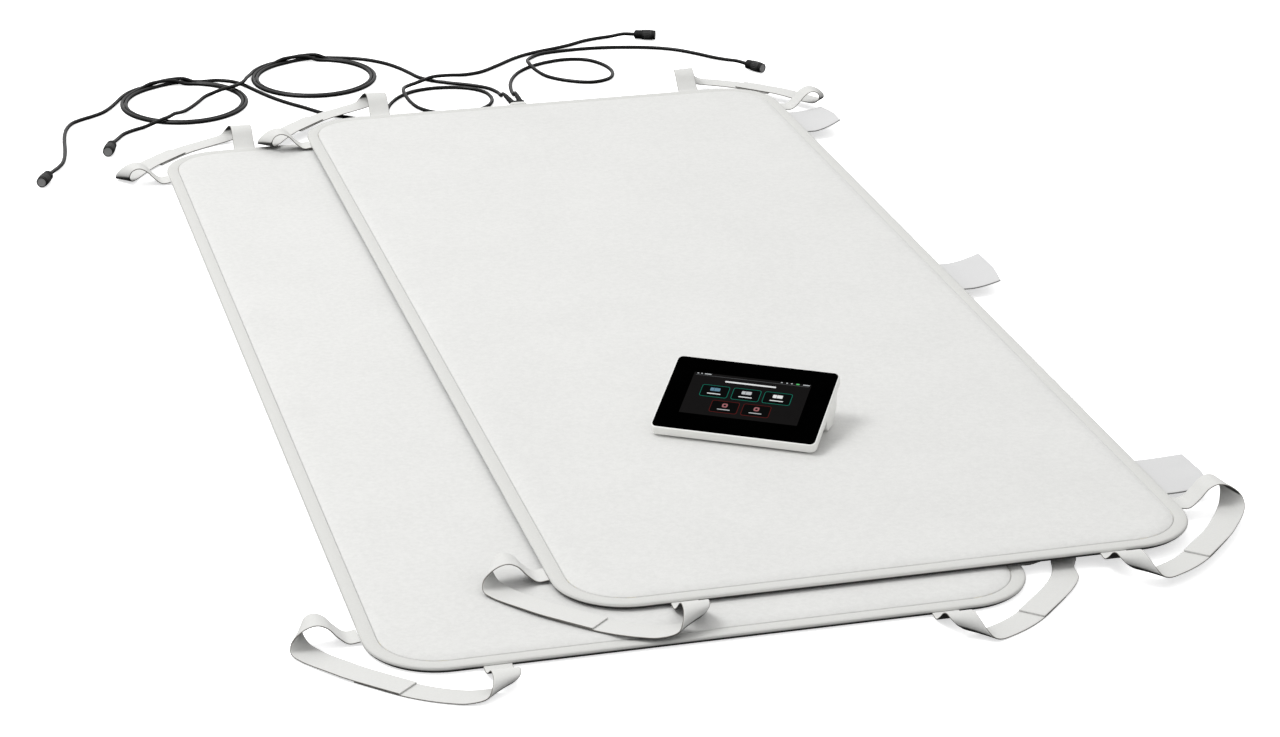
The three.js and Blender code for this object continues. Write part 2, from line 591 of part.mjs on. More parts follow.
function addScreenSlab(controller) {
  const slope = groupAt(controller, 0, 0, FRONT_EDGE_HEIGHT);
  slope.rotation.x = SCREEN_TILT;
  const middle = GLASS_DEPTH / 2;
  const glass = roundedRect(GLASS_WIDTH, GLASS_DEPTH, GLASS_RADIUS, middle);
  place(slope, 'controller_front_glass', slab(glass, -GLASS_THICKNESS, GLASS_THICKNESS, 0, 5), 'glass');

  const outer = roundedRect(GLASS_WIDTH + 2 * RIM, GLASS_DEPTH + 2 * RIM, GLASS_RADIUS + RIM, middle);
  const shell = slab(outer, -SLAB_THICKNESS, SLAB_THICKNESS - 0.2, SLAB_CHAMFER, 5);
  const seat = roundedRect(
    GLASS_WIDTH + 2 * GAP, GLASS_DEPTH + 2 * GAP, GLASS_RADIUS + GAP, middle);
  const pocket = slab(seat, -GLASS_THICKNESS - GAP, GLASS_THICKNESS + 2, 0, 5);
  const inside = roundedRect(GLASS_WIDTH - 4 * WALL, GLASS_DEPTH - 4 * WALL, WALL, middle);
  const hollow = slab(inside, WALL - SLAB_THICKNESS, SLAB_THICKNESS, 0, 4);
  place(slope, 'controller_front_housing', cut(shell, pocket, hollow), 'housing');

  const display = new THREE.BoxGeometry(DISPLAY_WIDTH, DISPLAY_DEPTH, DISPLAY_THICKNESS)
    .translate(0, middle, -GLASS_THICKNESS - GAP - DISPLAY_THICKNESS / 2);
  place(slope, 'controller_display_module', display, 'display');
}

function addRearHousing(controller) {
  const under = -SLAB_THICKNESS - GAP;
  const heel = (WEDGE_REAR + under * TILT_SIN) / TILT_COS;
  const toe = (WEDGE_FRONT - WEDGE_FRONT_SETBACK + under * TILT_SIN) / TILT_COS;
  const outline = [
    onSlope(toe, under), [WEDGE_FRONT - 5, 6], [WEDGE_FRONT, WEDGE_TOE.height],
    [WEDGE_TOE.y, WEDGE_TOE.height], [WEDGE_TOE.y + 6, 5], [WEDGE_REAR, WEDGE_HEEL_HEIGHT],
    onSlope(heel, under),
  ];
  const inside = [
    onSlope(toe + 4 * WALL, under - WALL), [WEDGE_FRONT + WALL, WEDGE_TOE.height + WALL],
    [WEDGE_TOE.y - 1, WEDGE_TOE.height + WALL], [WEDGE_REAR - WALL, WEDGE_HEEL_HEIGHT + 1],
    onSlope(heel - WALL - 1, 2), onSlope(toe + 4 * WALL, 2),
  ];
  const halfWidth = GLASS_WIDTH / 2 + RIM - WEDGE_SIDE_STEP;
  const buttonHole = rod(BUTTON.radius + BUTTON.clearance, 4 * WALL, BUTTON.x, WEDGE_REAR - 2 * WALL,
    BUTTON.z);
  place(controller, 'controller_rear_housing',
    cut(extrudeAcross(outline, halfWidth), extrudeAcross(inside, halfWidth - WALL), buttonHole),
    'housing');
  const board = new THREE.BoxGeometry(BOARD.width, BOARD.depth, BOARD.thickness)
    .translate(0, (WEDGE_FRONT + WEDGE_TOE.y) / 2 + WALL, BOARD.height);
  place(controller, 'controller_main_board', board, 'board');
  const button = rod(BUTTON.radius, WALL + 1 + BUTTON.proud, BUTTON.x, WEDGE_REAR - WALL - 1, BUTTON.z);
  place(controller, 'controller_power_button', button, 'button');
}

function addSocketPanel(controller) {
  const face = WEDGE_REAR + GAP;
  const { width, height, thickness, x, z } = SOCKET_PANEL;
  const plate = new THREE.BoxGeometry(width, thickness, height).translate(x, face + thickness / 2, z);
  const rims = [];
  const bores = [];
  for (let i = 0; i < 4; i++) {
    const at = x - width / 2 + SOCKET_MARGIN + SOCKET_PITCH * i;
    rims.push(rod(SOCKET_RADIUS, thickness + SOCKET_REACH, at, face, z));
    bores.push(rod(SOCKET_BORE, 2 * SOCKET_RECESS, at, face + thickness + SOCKET_REACH - SOCKET_RECESS, z));
  }
  const inletX = x - width / 2 + SOCKET_MARGIN + SOCKET_PITCH * 4;
  rims.push(rod(POWER_INLET_RADIUS, thickness + SOCKET_REACH / 2, inletX, face, z));
  const panel = toManifold(join(plate, ...rims));
  place(controller, 'controller_socket_panel', cut(toGeometry(panel), ...bores), 'rubber');
}

function addController(body) {
  const controller = groupAt(body, CONTROLLER_PLACE.x - UPPER_SHIFT.x,
    CONTROLLER_PLACE.y - UPPER_SHIFT.y, MAT_THICKNESS + GAP);
  controller.rotation.z = CONTROLLER_YAW;
  addScreenSlab(controller);
  addRearHousing(controller);
  addSocketPanel(controller);
  const foot = new THREE.BoxGeometry(FOOT.width, FOOT.depth, FOOT.thickness)
    .translate(0, (WEDGE_FRONT + WEDGE_TOE.y) / 2, FOOT.thickness / 2);
  place(controller, 'controller_foot_strip', foot, 'rubber');
}

const lower = groupAt(blanket, 0, 0, 0);
const upper = groupAt(blanket, UPPER_SHIFT.x, UPPER_SHIFT.y, UPPER_Z);
addMat('lower', lower);
addMat('upper', upper);
addStraps('lower', lower, true);
addStraps('upper', upper, false);
addTabs('lower', lower);
addTabs('upper', upper);
addLeads();
addController(upper);

export default blanket;
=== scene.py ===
"""Infrared sauna blanket: two bound mats with corner straps, side tabs, four plug-in leads and
a touch controller. Metres, +Z up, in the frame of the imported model."""
import math

import bmesh
import bpy
from mathutils import Matrix, Vector, noise


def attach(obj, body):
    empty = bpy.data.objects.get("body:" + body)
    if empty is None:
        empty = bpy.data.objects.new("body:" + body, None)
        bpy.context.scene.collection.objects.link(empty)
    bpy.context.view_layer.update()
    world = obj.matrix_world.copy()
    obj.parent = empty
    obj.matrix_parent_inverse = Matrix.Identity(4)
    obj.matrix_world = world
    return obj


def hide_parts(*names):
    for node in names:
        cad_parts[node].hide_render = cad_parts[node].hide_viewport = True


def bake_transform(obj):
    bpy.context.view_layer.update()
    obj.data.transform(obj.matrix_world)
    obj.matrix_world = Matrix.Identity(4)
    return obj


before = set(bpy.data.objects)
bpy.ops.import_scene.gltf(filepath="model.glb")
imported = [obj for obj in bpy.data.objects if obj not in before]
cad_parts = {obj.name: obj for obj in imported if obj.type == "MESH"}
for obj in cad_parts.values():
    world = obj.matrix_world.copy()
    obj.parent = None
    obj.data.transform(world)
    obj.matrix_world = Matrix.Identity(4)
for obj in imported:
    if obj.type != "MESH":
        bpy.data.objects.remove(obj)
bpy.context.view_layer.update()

MM = 0.001


# ---- camera and lights ----
LENS = 94.906
SENSOR_WIDTH = 36
CAMERA_AT = (-0.92278, -4.06056, 1.65942)
CAMERA_TARGET = (0.11672, -0.11280, 0.0)
WORLD_STRENGTH = 0.79


def aim(obj, place, target):
    """Stand obj at place and turn its view towards target."""
    obj.location = place
    obj.rotation_euler = (Vector(target) - Vector(place)).to_track_quat("-Z", "Y").to_euler()


def add_camera():
    lens = bpy.data.cameras.new("camera")
    lens.sensor_width = SENSOR_WIDTH
    lens.lens = LENS
    lens.clip_start = 0.05
    lens.clip_end = 60
    camera = bpy.data.objects.new("camera", lens)
    bpy.context.scene.collection.objects.link(camera)
    aim(camera, CAMERA_AT, CAMERA_TARGET)
    bpy.context.scene.camera = camera


def add_area(name, place, target, size, power):
    light = bpy.data.lights.new(name, "AREA")
    light.shape = "RECTANGLE"
    light.size, light.size_y = size
    light.energy = power
    lamp = bpy.data.objects.new(name, light)
    bpy.context.scene.collection.objects.link(lamp)
    aim(lamp, place, target)


def add_studio():
    world = bpy.data.worlds.new("studio")
    world.use_nodes = True
    backdrop = world.node_tree.nodes["Background"]
    backdrop.inputs["Color"].default_value = (1, 1, 1, 1)
    backdrop.inputs["Strength"].default_value = WORLD_STRENGTH
    bpy.context.scene.world = world
    bpy.context.scene.view_settings.view_transform = "Standard"
    bpy.context.scene.view_settings.look = "None"
    add_area("key_light", (-2.6, 0.5, 4.7), (0.2, 0.0, 0), (2.6, 2.2), 148)
    add_area("rear_light", (0.6, 5.6, 5.0), (0.1, 0.4, 0), (4.5, 2.0), 54)


# ---- shader maths ----
class Socket:
    """One output of a node; arithmetic on it adds Math nodes."""

    def __init__(self, finish, output):
        self.finish, self.output = finish, output

    def math(self, operation, *values):
        return self.finish.node("ShaderNodeMath", {"operation": operation}, values)

    def __add__(self, other):
        return self.math("ADD", self, other)

    def __radd__(self, other):
        return self.math("ADD", other, self)

    def __sub__(self, other):
        return self.math("SUBTRACT", self, other)

    def __rsub__(self, other):
        return self.math("SUBTRACT", other, self)

    def __mul__(self, other):
        return self.math("MULTIPLY", self, other)

    def wave(self):
        return self.math("SINE", self)

    def over(self, low, high):
        """0 below low, 1 above high, smooth between."""
        return self.finish.node("ShaderNodeMapRange", {"interpolation_type": "SMOOTHSTEP"},
                                {"Value": self, "From Min": low, "From Max": high})


class Finish:
    """A material with one Principled shader; constants sit on the shader's own sockets."""

    def __init__(self, name, color, roughness, **constants):
        self.material = bpy.data.materials.new(name)
        self.material.use_nodes = True
        self.tree = self.material.node_tree
        self.shader = self.tree.nodes["Principled BSDF"]
        self.shader.inputs["Base Color"].default_value = tint(color)
        self.shader.inputs["Roughness"].default_value = roughness
        for socket, value in constants.items():
            self.shader.inputs[socket.replace("_", " ")].default_value = value

    def node(self, kind, settings=None, inputs=(), output=0):
        node = self.tree.nodes.new(kind)
        for setting, value in (settings or {}).items():
            setattr(node, setting, value)
        given = inputs.items() if isinstance(inputs, dict) else enumerate(inputs)
        for key, value in given:
            if isinstance(value, Socket):
                self.tree.links.new(value.output, node.inputs[key])
            else:
                node.inputs[key].default_value = value
        return Socket(self, node.outputs[output])

    def place(self):
        return self.node("ShaderNodeTexCoord", output="Object")

    def axis(self, vector, name):
        return self.node("ShaderNodeSeparateXYZ", inputs=[vector], output=name)

    def along(self):
        """The piece's own UV: metres along it and metres across it."""
        uv = self.node("ShaderNodeTexCoord", output="UV")
        return self.axis(uv, "X"), self.axis(uv, "Y")

    def grain(self, scale, detail=2.0, roughness=0.5, stretch=None, vector=None):
        vector = vector or self.place()
        if stretch:
            vector = self.node("ShaderNodeMapping", inputs={"Vector": vector, "Scale": stretch})
        return self.node("ShaderNodeTexNoise", inputs={
            "Vector": vector, "Scale": scale, "Detail": detail, "Roughness": roughness})

    def mix(self, factor, first, second):
        """A colour between first and second."""
        return self.node("ShaderNodeMix", {"data_type": "RGBA"},
                         {"Factor": factor, 6: colour(first), 7: colour(second)}, output=2)

    def feed(self, socket, value):
        self.tree.links.new(value.output, self.shader.inputs[socket])

    def facing_down(self):
        """1 on faces that look at the ground when the blanket lies flat, 0 on the rest: the mask
        for painted shade on undersides.
        """
        normal = self.node("ShaderNodeTexCoord", output="Normal")
        return (0.0 - self.axis(normal, "Z")).over(0.1, 0.5)

    def bump(self, height, distance, strength=1.0):
        self.feed("Normal", self.node("ShaderNodeBump", inputs={
            "Strength": strength, "Distance": distance, "Height": height}))


def tint(color):
    """A display colour, 0 to 255 or one grey, as linear light."""
    values = (color,) * 3 if isinstance(color, (int, float)) else color
    linear = [v / 255 / 12.92 if v <= 10 else ((v / 255 + 0.055) / 1.055) ** 2.4 for v in values]
    return (*linear, 1.0)


def colour(value):
    return value if isinstance(value, Socket) else tint(value)


# Painted shade: the near-black colour given to downward faces of tape and webbing, standing in for
# the shade under them.
UNDERSIDE_PAINTED_SHADE = (30, 29, 28)


def woven(name, light, dark, thread, depth, sheen=0.1):
    """Close-woven cover cloth: crossed threads, a speckled fibre grain and broad mottling."""
    cloth = Finish(name, light, 0.88, Sheen_Weight=sheen, Sheen_Roughness=0.5,
                   Specular_IOR_Level=0.2)
    at = cloth.place()
    x, y = cloth.axis(at, "X"), cloth.axis(at, "Y")
    step = 2 * math.pi / thread
    weave = (x * step).wave() * (y * step).wave()
    fibre = cloth.grain(420, 3, 0.7)
    speckle = cloth.grain(150, 4, 0.75).over(0.25, 0.75)
    mottle = cloth.grain(7, 3, 0.55)
    shade = mottle * 0.35 + speckle * 0.4 + fibre * 0.3 - weave * 0.06
    cloth.feed("Base Color", cloth.mix(shade, dark, light))
    cloth.feed("Roughness", 0.8 + fibre * 0.15)
    cloth.bump(weave * 0.4 + fibre * 0.8 + speckle * 0.6, depth, 0.6)
    return cloth.material


def taped(name, light, dark, edge, half_width, rib, depth, fade=0.0006):
    """Webbing or binding tape: ribs along its length, darker cut edges and painted shade on its
    downward faces.
    """
    tape = Finish(name, light, 0.85, Sheen_Weight=0.1, Specular_IOR_Level=0.2)
    length, across = tape.along()
    ribs = (across * (2 * math.pi / rib)).wave()
    picks = (length * (2 * math.pi / (1.3 * rib))).wave()
    grain = tape.grain(420, 3, 0.7)
    body = tape.mix(grain * 0.7 + ribs * 0.12 + 0.1, dark, light)
    border = across.math("ABSOLUTE", across).over(half_width - fade, half_width)
    faced = tape.mix(border, body, edge)
    # Painted shade: faces that look down are turned near black.
    tape.feed("Base Color", tape.mix(tape.facing_down(), faced, UNDERSIDE_PAINTED_SHADE))
    tape.feed("Roughness", 0.78 + grain * 0.18)
    tape.bump(ribs * 0.6 + picks * ribs * 0.4 + grain * 0.5, depth, 0.7)
    return tape.material


def moulded(name, light, dark, roughness, grain=2200, depth=0.00003, **constants):
    """Moulded plastic or rubber with a fine spark-eroded grain."""
    shell = Finish(name, light, roughness, **constants)
    fine = shell.grain(grain, 2)
    broad = shell.grain(24, 2)
    shell.feed("Base Color", shell.mix(broad * 0.7 + fine * 0.3, dark, light))
    shell.feed("Roughness", roughness - 0.06 + broad * 0.12)
    shell.bump(fine, depth, 0.5)
    return shell.material


def jacket():
    """The leads' smooth black jacket, faintly drawn along its length."""
    skin = Finish("lead_jacket", 3, 0.3, Specular_IOR_Level=0.32)
    length, around = skin.along()
    drawn = skin.grain(300, 2, vector=skin.node(
        "ShaderNodeCombineXYZ", inputs=[length * 0.15, around, 0.0]))
    skin.feed("Base Color", skin.mix(drawn, 2, 5))
    skin.feed("Roughness", 0.24 + drawn * 0.1)
    skin.bump(drawn, 0.00002, 0.3)
    return skin.material


def brushed(name, light, dark, roughness, metallic):
    metal = Finish(name, light, roughness, Metallic=metallic)
    lines = metal.grain(600, 3, stretch=(1, 1, 6))
    metal.feed("Base Color", metal.mix(lines, dark, light))
    metal.feed("Roughness", roughness - 0.08 + lines * 0.2)
    metal.bump(lines, 0.00003, 0.4)
    return metal.material


def glossy_glass():
    pane = Finish("black_glass", 1, 0.12, Specular_IOR_Level=0.0)
    smear = pane.grain(18, 3)
    pane.feed("Base Color", pane.mix(smear, 0, 2))
    pane.feed("Roughness", 0.1 + smear * 0.08)
    return pane.material


def lit(name, color, strength=1.0):
    """A lit area of the display, faintly uneven."""
    mark = Finish(name, 0, 0.6, Emission_Strength=strength, Specular_IOR_Level=0.0)
    haze = mark.grain(120, 2)
    dim = tuple(0.9 * v for v in (color if isinstance(color, tuple) else (color,) * 3))
    mark.feed("Emission Color", mark.mix(haze, dim, color))
    return mark.material


def foam_cells():
    foam = Finish("foam", (242, 239, 230), 0.95)
    cells = foam.node("ShaderNodeTexVoronoi", inputs={"Vector": foam.place(), "Scale": 700.0})
    foam.feed("Base Color", foam.mix(cells, (225, 220, 205), (244, 241, 232)))
    foam.bump(cells, 0.0004, 0.6)
    return foam.material


def carbon_weave():
    carbon = Finish("carbon_heater", 40, 0.6)
    strands = carbon.grain(500, 2, stretch=(4, 0.4, 1))
    carbon.feed("Base Color", carbon.mix(strands, 26, 58))
    carbon.feed("Roughness", 0.5 + strands * 0.2)
    carbon.bump(strands, 0.0001, 0.5)
    return carbon.material


def circuit():
    board = Finish("circuit_board", (30, 92, 58), 0.55)
    tracks = board.node("ShaderNodeTexVoronoi", {"feature": "DISTANCE_TO_EDGE"},
                        {"Vector": board.place(), "Scale": 260.0})
    board.feed("Base Color", board.mix(tracks.over(0.02, 0.05), (70, 140, 90), (26, 84, 52)))
    board.feed("Roughness", 0.45 + tracks * 0.3)
    return board.material


# ---- mesh making ----
def grid(columns, rows):
    """A flat grid, its vertices listed row by row."""
    bm = bmesh.new()
    bmesh.ops.create_grid(bm, x_segments=columns, y_segments=rows, size=1)
    if len(bm.verts) != (columns + 1) * (rows + 1):
        raise RuntimeError("the grid is not the size asked for")
    bm.verts.ensure_lookup_table()
    return bm


def close_up(bm):
    """Weld, cap open ends and turn the faces outwards."""
    bmesh.ops.remove_doubles(bm, verts=bm.verts, dist=1e-6)
    rims = [edge for edge in bm.edges if edge.is_boundary]
    if rims:
        bmesh.ops.holes_fill(bm, edges=rims, sides=0)
    bmesh.ops.recalc_face_normals(bm, faces=bm.faces)
    return bm


def lay_uv(bm, places):
    """Give every vertex its own (along, across) in metres."""
    uv = bm.loops.layers.uv["along"]
    for face in bm.faces:
        for loop in face.loops:
            loop[uv].uv = places[loop.vert.index]


def shift(bm, x, y, z):
    """Move a whole bmesh by mm."""
    bmesh.ops.translate(bm, vec=Vector((x, y, z)) * MM, verts=bm.verts)


def bevel(bm, edges, width, segments, clamp=False):
    bmesh.ops.bevel(bm, geom=edges, offset=width * MM, affect="EDGES", profile=0.5,
                    segments=segments, material=-1, clamp_overlap=clamp)


def sweep(stations, section, closed=False):
    """Carry a closed section along stations of (point, across, up).

    The section is a list of (across, up), or a function that gives one for each station.
    UVs are metres along the path and metres round the section, from its middle.
    """
    shape = section if callable(section) else lambda row: section
    sides = len(shape(0))
    rows = len(stations) if closed else len(stations) - 1
    bm = grid(sides, rows)
    bm.loops.layers.uv.new("along")
    run = [0.0]
    for row in range(rows):
        here, after = stations[row][0], stations[(row + 1) % len(stations)][0]
        run.append(run[-1] + (after - here).length)
    places = []
    for index, vert in enumerate(bm.verts):
        row, side = divmod(index, sides + 1)
        point, across, up = stations[row % len(stations)]
        a, b = shape(row % len(stations))[side % sides]
        vert.co = point + across * a + up * b
        places.append((run[row], a))
    lay_uv(bm, places)
    return close_up(bm)


def ring(radius, sides, squash=1.0):
    return [(radius * math.cos(2 * math.pi * i / sides),
             squash * radius * math.sin(2 * math.pi * i / sides)) for i in range(sides)]


def turned(profile, steps=32):
    """A closed shape turned about +Y from (radius, y) in mm, the first and last on the axis."""
    bm = bmesh.new()
    verts = [bm.verts.new((radius * MM, y * MM, 0)) for radius, y in profile]
    for first, second in zip(verts, verts[1:]):
        bm.edges.new((first, second))
    bmesh.ops.spin(bm, geom=bm.verts[:] + bm.edges[:], cent=(0, 0, 0), axis=(0, 1, 0),
                   angle=2 * math.pi, steps=steps, use_merge=True)
    return close_up(bm)


def upright_edges(bm, least):
    return [e for e in bm.edges if abs((e.verts[0].co - e.verts[1].co).z) > least]


def block(low, high, edge=0.0, segments=3, upright=0.0, upright_segments=8):
    """A box between two corners in mm, its upright corners rounded first, then every edge."""
    low, high = Vector(low) * MM, Vector(high) * MM
    size = high - low
    bm = bmesh.new()
    bmesh.ops.create_cube(bm, size=1)
    bmesh.ops.scale(bm, vec=size, verts=bm.verts)
    bmesh.ops.translate(bm, vec=(low + high) / 2, verts=bm.verts)
    if upright:
        bevel(bm, upright_edges(bm, size.z / 2), upright, upright_segments)
    if edge:
        soften(bm, edge, segments)
    return bm


def soften(bm, width, segments=3, sharper_than=35):
    """Bevel every edge that turns by more than the given degrees."""
    limit = math.radians(sharper_than)
    edges = [e for e in bm.edges if e.is_manifold and e.calc_face_angle(0) > limit]
    bevel(bm, edges, width, segments, clamp=True)


def extruded(outline, half_width):
    """A side view of (y, z) points in mm, extruded across X."""
    half_width *= MM
    bm = bmesh.new()
    verts = [bm.verts.new((-half_width, y * MM, z * MM)) for y, z in outline]
    face = bm.faces.new(verts)
    grown = bmesh.ops.extrude_face_region(bm, geom=[face])["geom"]
    moved = [v for v in grown if isinstance(v, bmesh.types.BMVert)]
    bmesh.ops.translate(bm, vec=(2 * half_width, 0, 0), verts=moved)
    bmesh.ops.recalc_face_normals(bm, faces=bm.faces)
    return bm


def gather(*parts):
    """Several bmeshes as one."""
    whole = bmesh.new()
    for part in parts:
        mesh = bpy.data.meshes.new("part")
        part.to_mesh(mesh)
        part.free()
        whole.from_mesh(mesh)
        bpy.data.meshes.remove(mesh)
    return whole


def piece(name, bm, finish, body=None, stands_for=(), place=None, sharp=32):
    """Make the finished object, at the origin with its place in its mesh."""
    if place is not None:
        bmesh.ops.transform(bm, matrix=place, verts=bm.verts)
    mesh = bpy.data.meshes.new(name)
    bm.to_mesh(mesh)
    bm.free()
    mesh.materials.append(finishes[finish])
    mesh.shade_smooth()
    mesh.set_sharp_from_angle(angle=math.radians(sharp))
    obj = bpy.data.objects.new(name, mesh)
    bpy.context.scene.collection.objects.link(obj)
    if body:
        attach(obj, body)
    if stands_for:
        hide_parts(*stands_for)
    return obj


# ---- curves ----
def smooth_curve(rows, steps):
    """A centripetal curve through rows whose first three numbers are the place, in metres."""
    rows = [Vector(row) for row in rows]
    rows = [2 * rows[0] - rows[1], *rows, 2 * rows[-1] - rows[-2]]
    found = []
    for before, start, end, after in zip(rows, rows[1:], rows[2:], rows[3:]):
        first, mid, last = (max(math.sqrt((b.resized(3) - a.resized(3)).length), 1e-4)
                            for a, b in ((before, start), (start, end), (end, after)))
        leave = ((start - before) / first - (end - before) / (first + mid)
                 + (end - start) / mid) * mid
        arrive = ((end - start) / mid - (after - start) / (mid + last)
                  + (after - end) / last) * mid
        for i in range(steps):
            t = i / steps
            found.append(start * (2 * t ** 3 - 3 * t ** 2 + 1) + leave * (t ** 3 - 2 * t ** 2 + t)
                         + end * (3 * t ** 2 - 2 * t ** 3) + arrive * (t ** 3 - t ** 2))
    found.append(rows[-2].copy())
    return found


def length_of(points):
    return sum((b - a).length for a, b in zip(points, points[1:]))


def upright_stations(points):
    """Stations for a line that never stands straight up: across is level."""
    stations = []
    for i, point in enumerate(points):
        ahead = (points[min(i + 1, len(points) - 1)] - points[max(i - 1, 0)]).normalized()
        across = ahead.cross(Vector((0, 0, 1))).normalized()
        stations.append((point, across, across.cross(ahead)))
    return stations


# ---- leads ----
CORD = 6 * MM
FLOOR = 3.1
OVER_CORD = 9.7
PLUG_AXIS = 8.9
UPPER_EXIT = 16.8
LOWER_EXIT = 4.8
COIL_RADIUS = 101
STRAND = 3.3

# Points of the leads in mm; one with no height lies on the floor.
LEAD_A_RUN = [
    (194, 1036, UPPER_EXIT), (193, 1047, UPPER_EXIT - 1), (194, 1061, 9.5), (196, 1077, 3.8),
    (195, 1096), (185, 1122), (160, 1147), (129, 1167), (103, 1188), (86, 1212), (77, 1238),
    (65, 1270), (47, 1303), (22, 1330), (-3, 1346)]
LEAD_A_TAIL = [
    (-180, 1296, 4.4), (-186, 1278, 7.2), (-193, 1258, OVER_CORD), (-200, 1241, OVER_CORD),
    (-209, 1228, OVER_CORD), (-219, 1219, OVER_CORD), (-230, 1213, OVER_CORD), (-243, 1210, 7.6),
    (-256, 1207, 4.4), (-266, 1201), (-275, 1188), (-284, 1171), (-297, 1149), (-311, 1128, 3.6),
    (-322, 1111, 6.4), (-332, 1097, OVER_CORD), (-343, 1083, OVER_CORD), (-355, 1072, OVER_CORD),
    (-368, 1065, 7.6), (-384, 1059, 4), (-403, 1049), (-420, 1034), (-431, 1014, 3.4),
    (-438, 995, 5.6), (-443, 980, 8.2), (-446.4, 968.4, PLUG_AXIS)]
LEAD_B_RUN = [
    (-34, 963, LOWER_EXIT), (-36, 975, 4.3), (-44, 998, 3.3), (-59, 1021), (-76, 1037),
    (-92, 1050), (-107, 1070), (-124, 1097), (-145, 1127), (-163, 1158), (-178, 1190),
    (-190, 1219), (-200, 1243), (-214, 1264), (-237, 1278.5)]
LEAD_B_TAIL = [
    (-415, 1197), (-427, 1173), (-441, 1152), (-458, 1137), (-477, 1124), (-493, 1109),
    (-504, 1085), (-511, 1053), (-515, 1018), (-518, 980), (-522, 945), (-528, 915),
    (-538, 889, 4.2), (-547, 867, 6.8), (-555.6, 846.4, PLUG_AXIS)]
LEAD_C = [
    (212, 1036, UPPER_EXIT), (213, 1047, UPPER_EXIT - 1), (215, 1061, 9.5), (217, 1078, 3.8),
    (219, 1104), (227, 1143), (243, 1181), (262, 1207), (285, 1226), (312, 1240), (345, 1247),
    (378, 1237), (399, 1203), (404, 1160), (390, 1125), (358, 1112), (320, 1131),
    (293, 1162, 3.4), (281, 1188, 6.6), (276, 1218, OVER_CORD), (280, 1248, 6.6),
    (291, 1271, 3.4), (312, 1289), (366, 1299), (415, 1299), (463, 1290), (505, 1276),
    (538, 1256), (567, 1225), (588, 1195, 3.6), (604, 1170, 5.6), (617, 1146, 9),
    (627.4, 1128.3, PLUG_AXIS)]
LEAD_D = [
    (-16, 963, LOWER_EXIT), (-14, 976, 4.3), (-9, 1002, 3.3), (0, 1040), (12, 1075), (32, 1109),
    (59, 1134), (86, 1144), (113, 1145), (140, 1138), (161, 1124), (175, 1103), (179, 1080),
    (176, 1054), (164, 1030), (142, 1012), (116, 1005), (91, 1009), (69, 1024), (54, 1048, 3.4),
    (46, 1077, 5.4), (43, 1101, 8.8), (44, 1123, OVER_CORD), (51, 1147, 8), (76, 1169, 7.6),
    (105, 1186, OVER_CORD), (132, 1197, 7), (160, 1204, 3.6), (190, 1213), (224, 1240),
    (262, 1275), (287, 1292), (313, 1304), (340, 1314), (370, 1327), (400, 1345), (425, 1354),
    (450, 1355, 4.6), (472, 1350, 8.8), (489.2, 1343, PLUG_AXIS)]


def wound(coil, start, stop, entry, leave):
    """Two turns and a part turn side by side on the floor; the lead joins from outside, under
    the later turns, and leaves outside them.

    coil is its centre and how wide and long it is drawn; start and stop are bearings in degrees.
    """
    centre_x, centre_y, wide, long = coil
    total = 720 + stop - start
    outer, inner, edge = COIL_RADIUS + STRAND, COIL_RADIUS - STRAND, COIL_RADIUS + 3 * STRAND
    keys = [(0, entry, FLOOR), (55, inner, FLOOR), (372, inner + 0.4, FLOOR),
            (390, COIL_RADIUS, OVER_CORD), (406, COIL_RADIUS + 1, OVER_CORD), (428, outer, FLOOR),
            (722, outer, FLOOR), (736, outer + 1.4, OVER_CORD), (752, edge - 2, OVER_CORD - 1),
            (772, edge, FLOOR), (total, leave, 3.4)]
    points = []
    count = round(total / 12)
    for i in range(count + 1):
        swept = min(total * i / count, total)
        for (a, r0, z0), (b, r1, z1) in zip(keys, keys[1:]):
            if swept <= b + 1e-6:
                t = (swept - a) / (b - a)
                t = t * t * (3 - 2 * t)
                bearing = math.radians(start + swept)
                radius = r0 + (r1 - r0) * t
                points.append((centre_x + wide * radius * math.cos(bearing),
                               centre_y + long * radius * math.sin(bearing), z0 + (z1 - z0) * t))
                break
    return points


COIL_A = (-81, 1255, 0.96, 1.005)
COIL_B = (-307, 1172.5, 0.955, 1.035)


def lead_paths():
    routes = {
        "lead_a": LEAD_A_RUN + wound(COIL_A, 62.6, 149.9, 113.2, 111.6) + LEAD_A_TAIL,
        "lead_b": LEAD_B_RUN + wound(COIL_B, 66.6, 154.8, 112.0, 111.6) + LEAD_B_TAIL,
        "lead_c": LEAD_C,
        "lead_d": LEAD_D,
    }
    return {name: [Vector((*point, FLOOR)[:3]) * MM for point in route]
            for name, route in routes.items()}


RING_START = 15.3
NOSE_START = 31.6
JOINT_GAP = 0.3


def plug_place(route):
    """The plug's axis runs along +Y from the cord's end, level."""
    ahead = route[-1] - route[-2]
    heading = math.atan2(ahead.y, ahead.x)
    off = Vector((math.cos(heading), math.sin(heading), 0)) * JOINT_GAP * MM
    origin = Vector((route[-1].x, route[-1].y, PLUG_AXIS * MM)) + off
    return Matrix.Translation(origin) @ Matrix.Rotation(heading - math.pi / 2, 4, "Z")


def four_round(radius):
    """Four places round an axis, halfway between the others."""
    angles = [math.pi / 4 + i * math.pi / 2 for i in range(4)]
    return [(radius * math.cos(angle), radius * math.sin(angle)) for angle in angles]


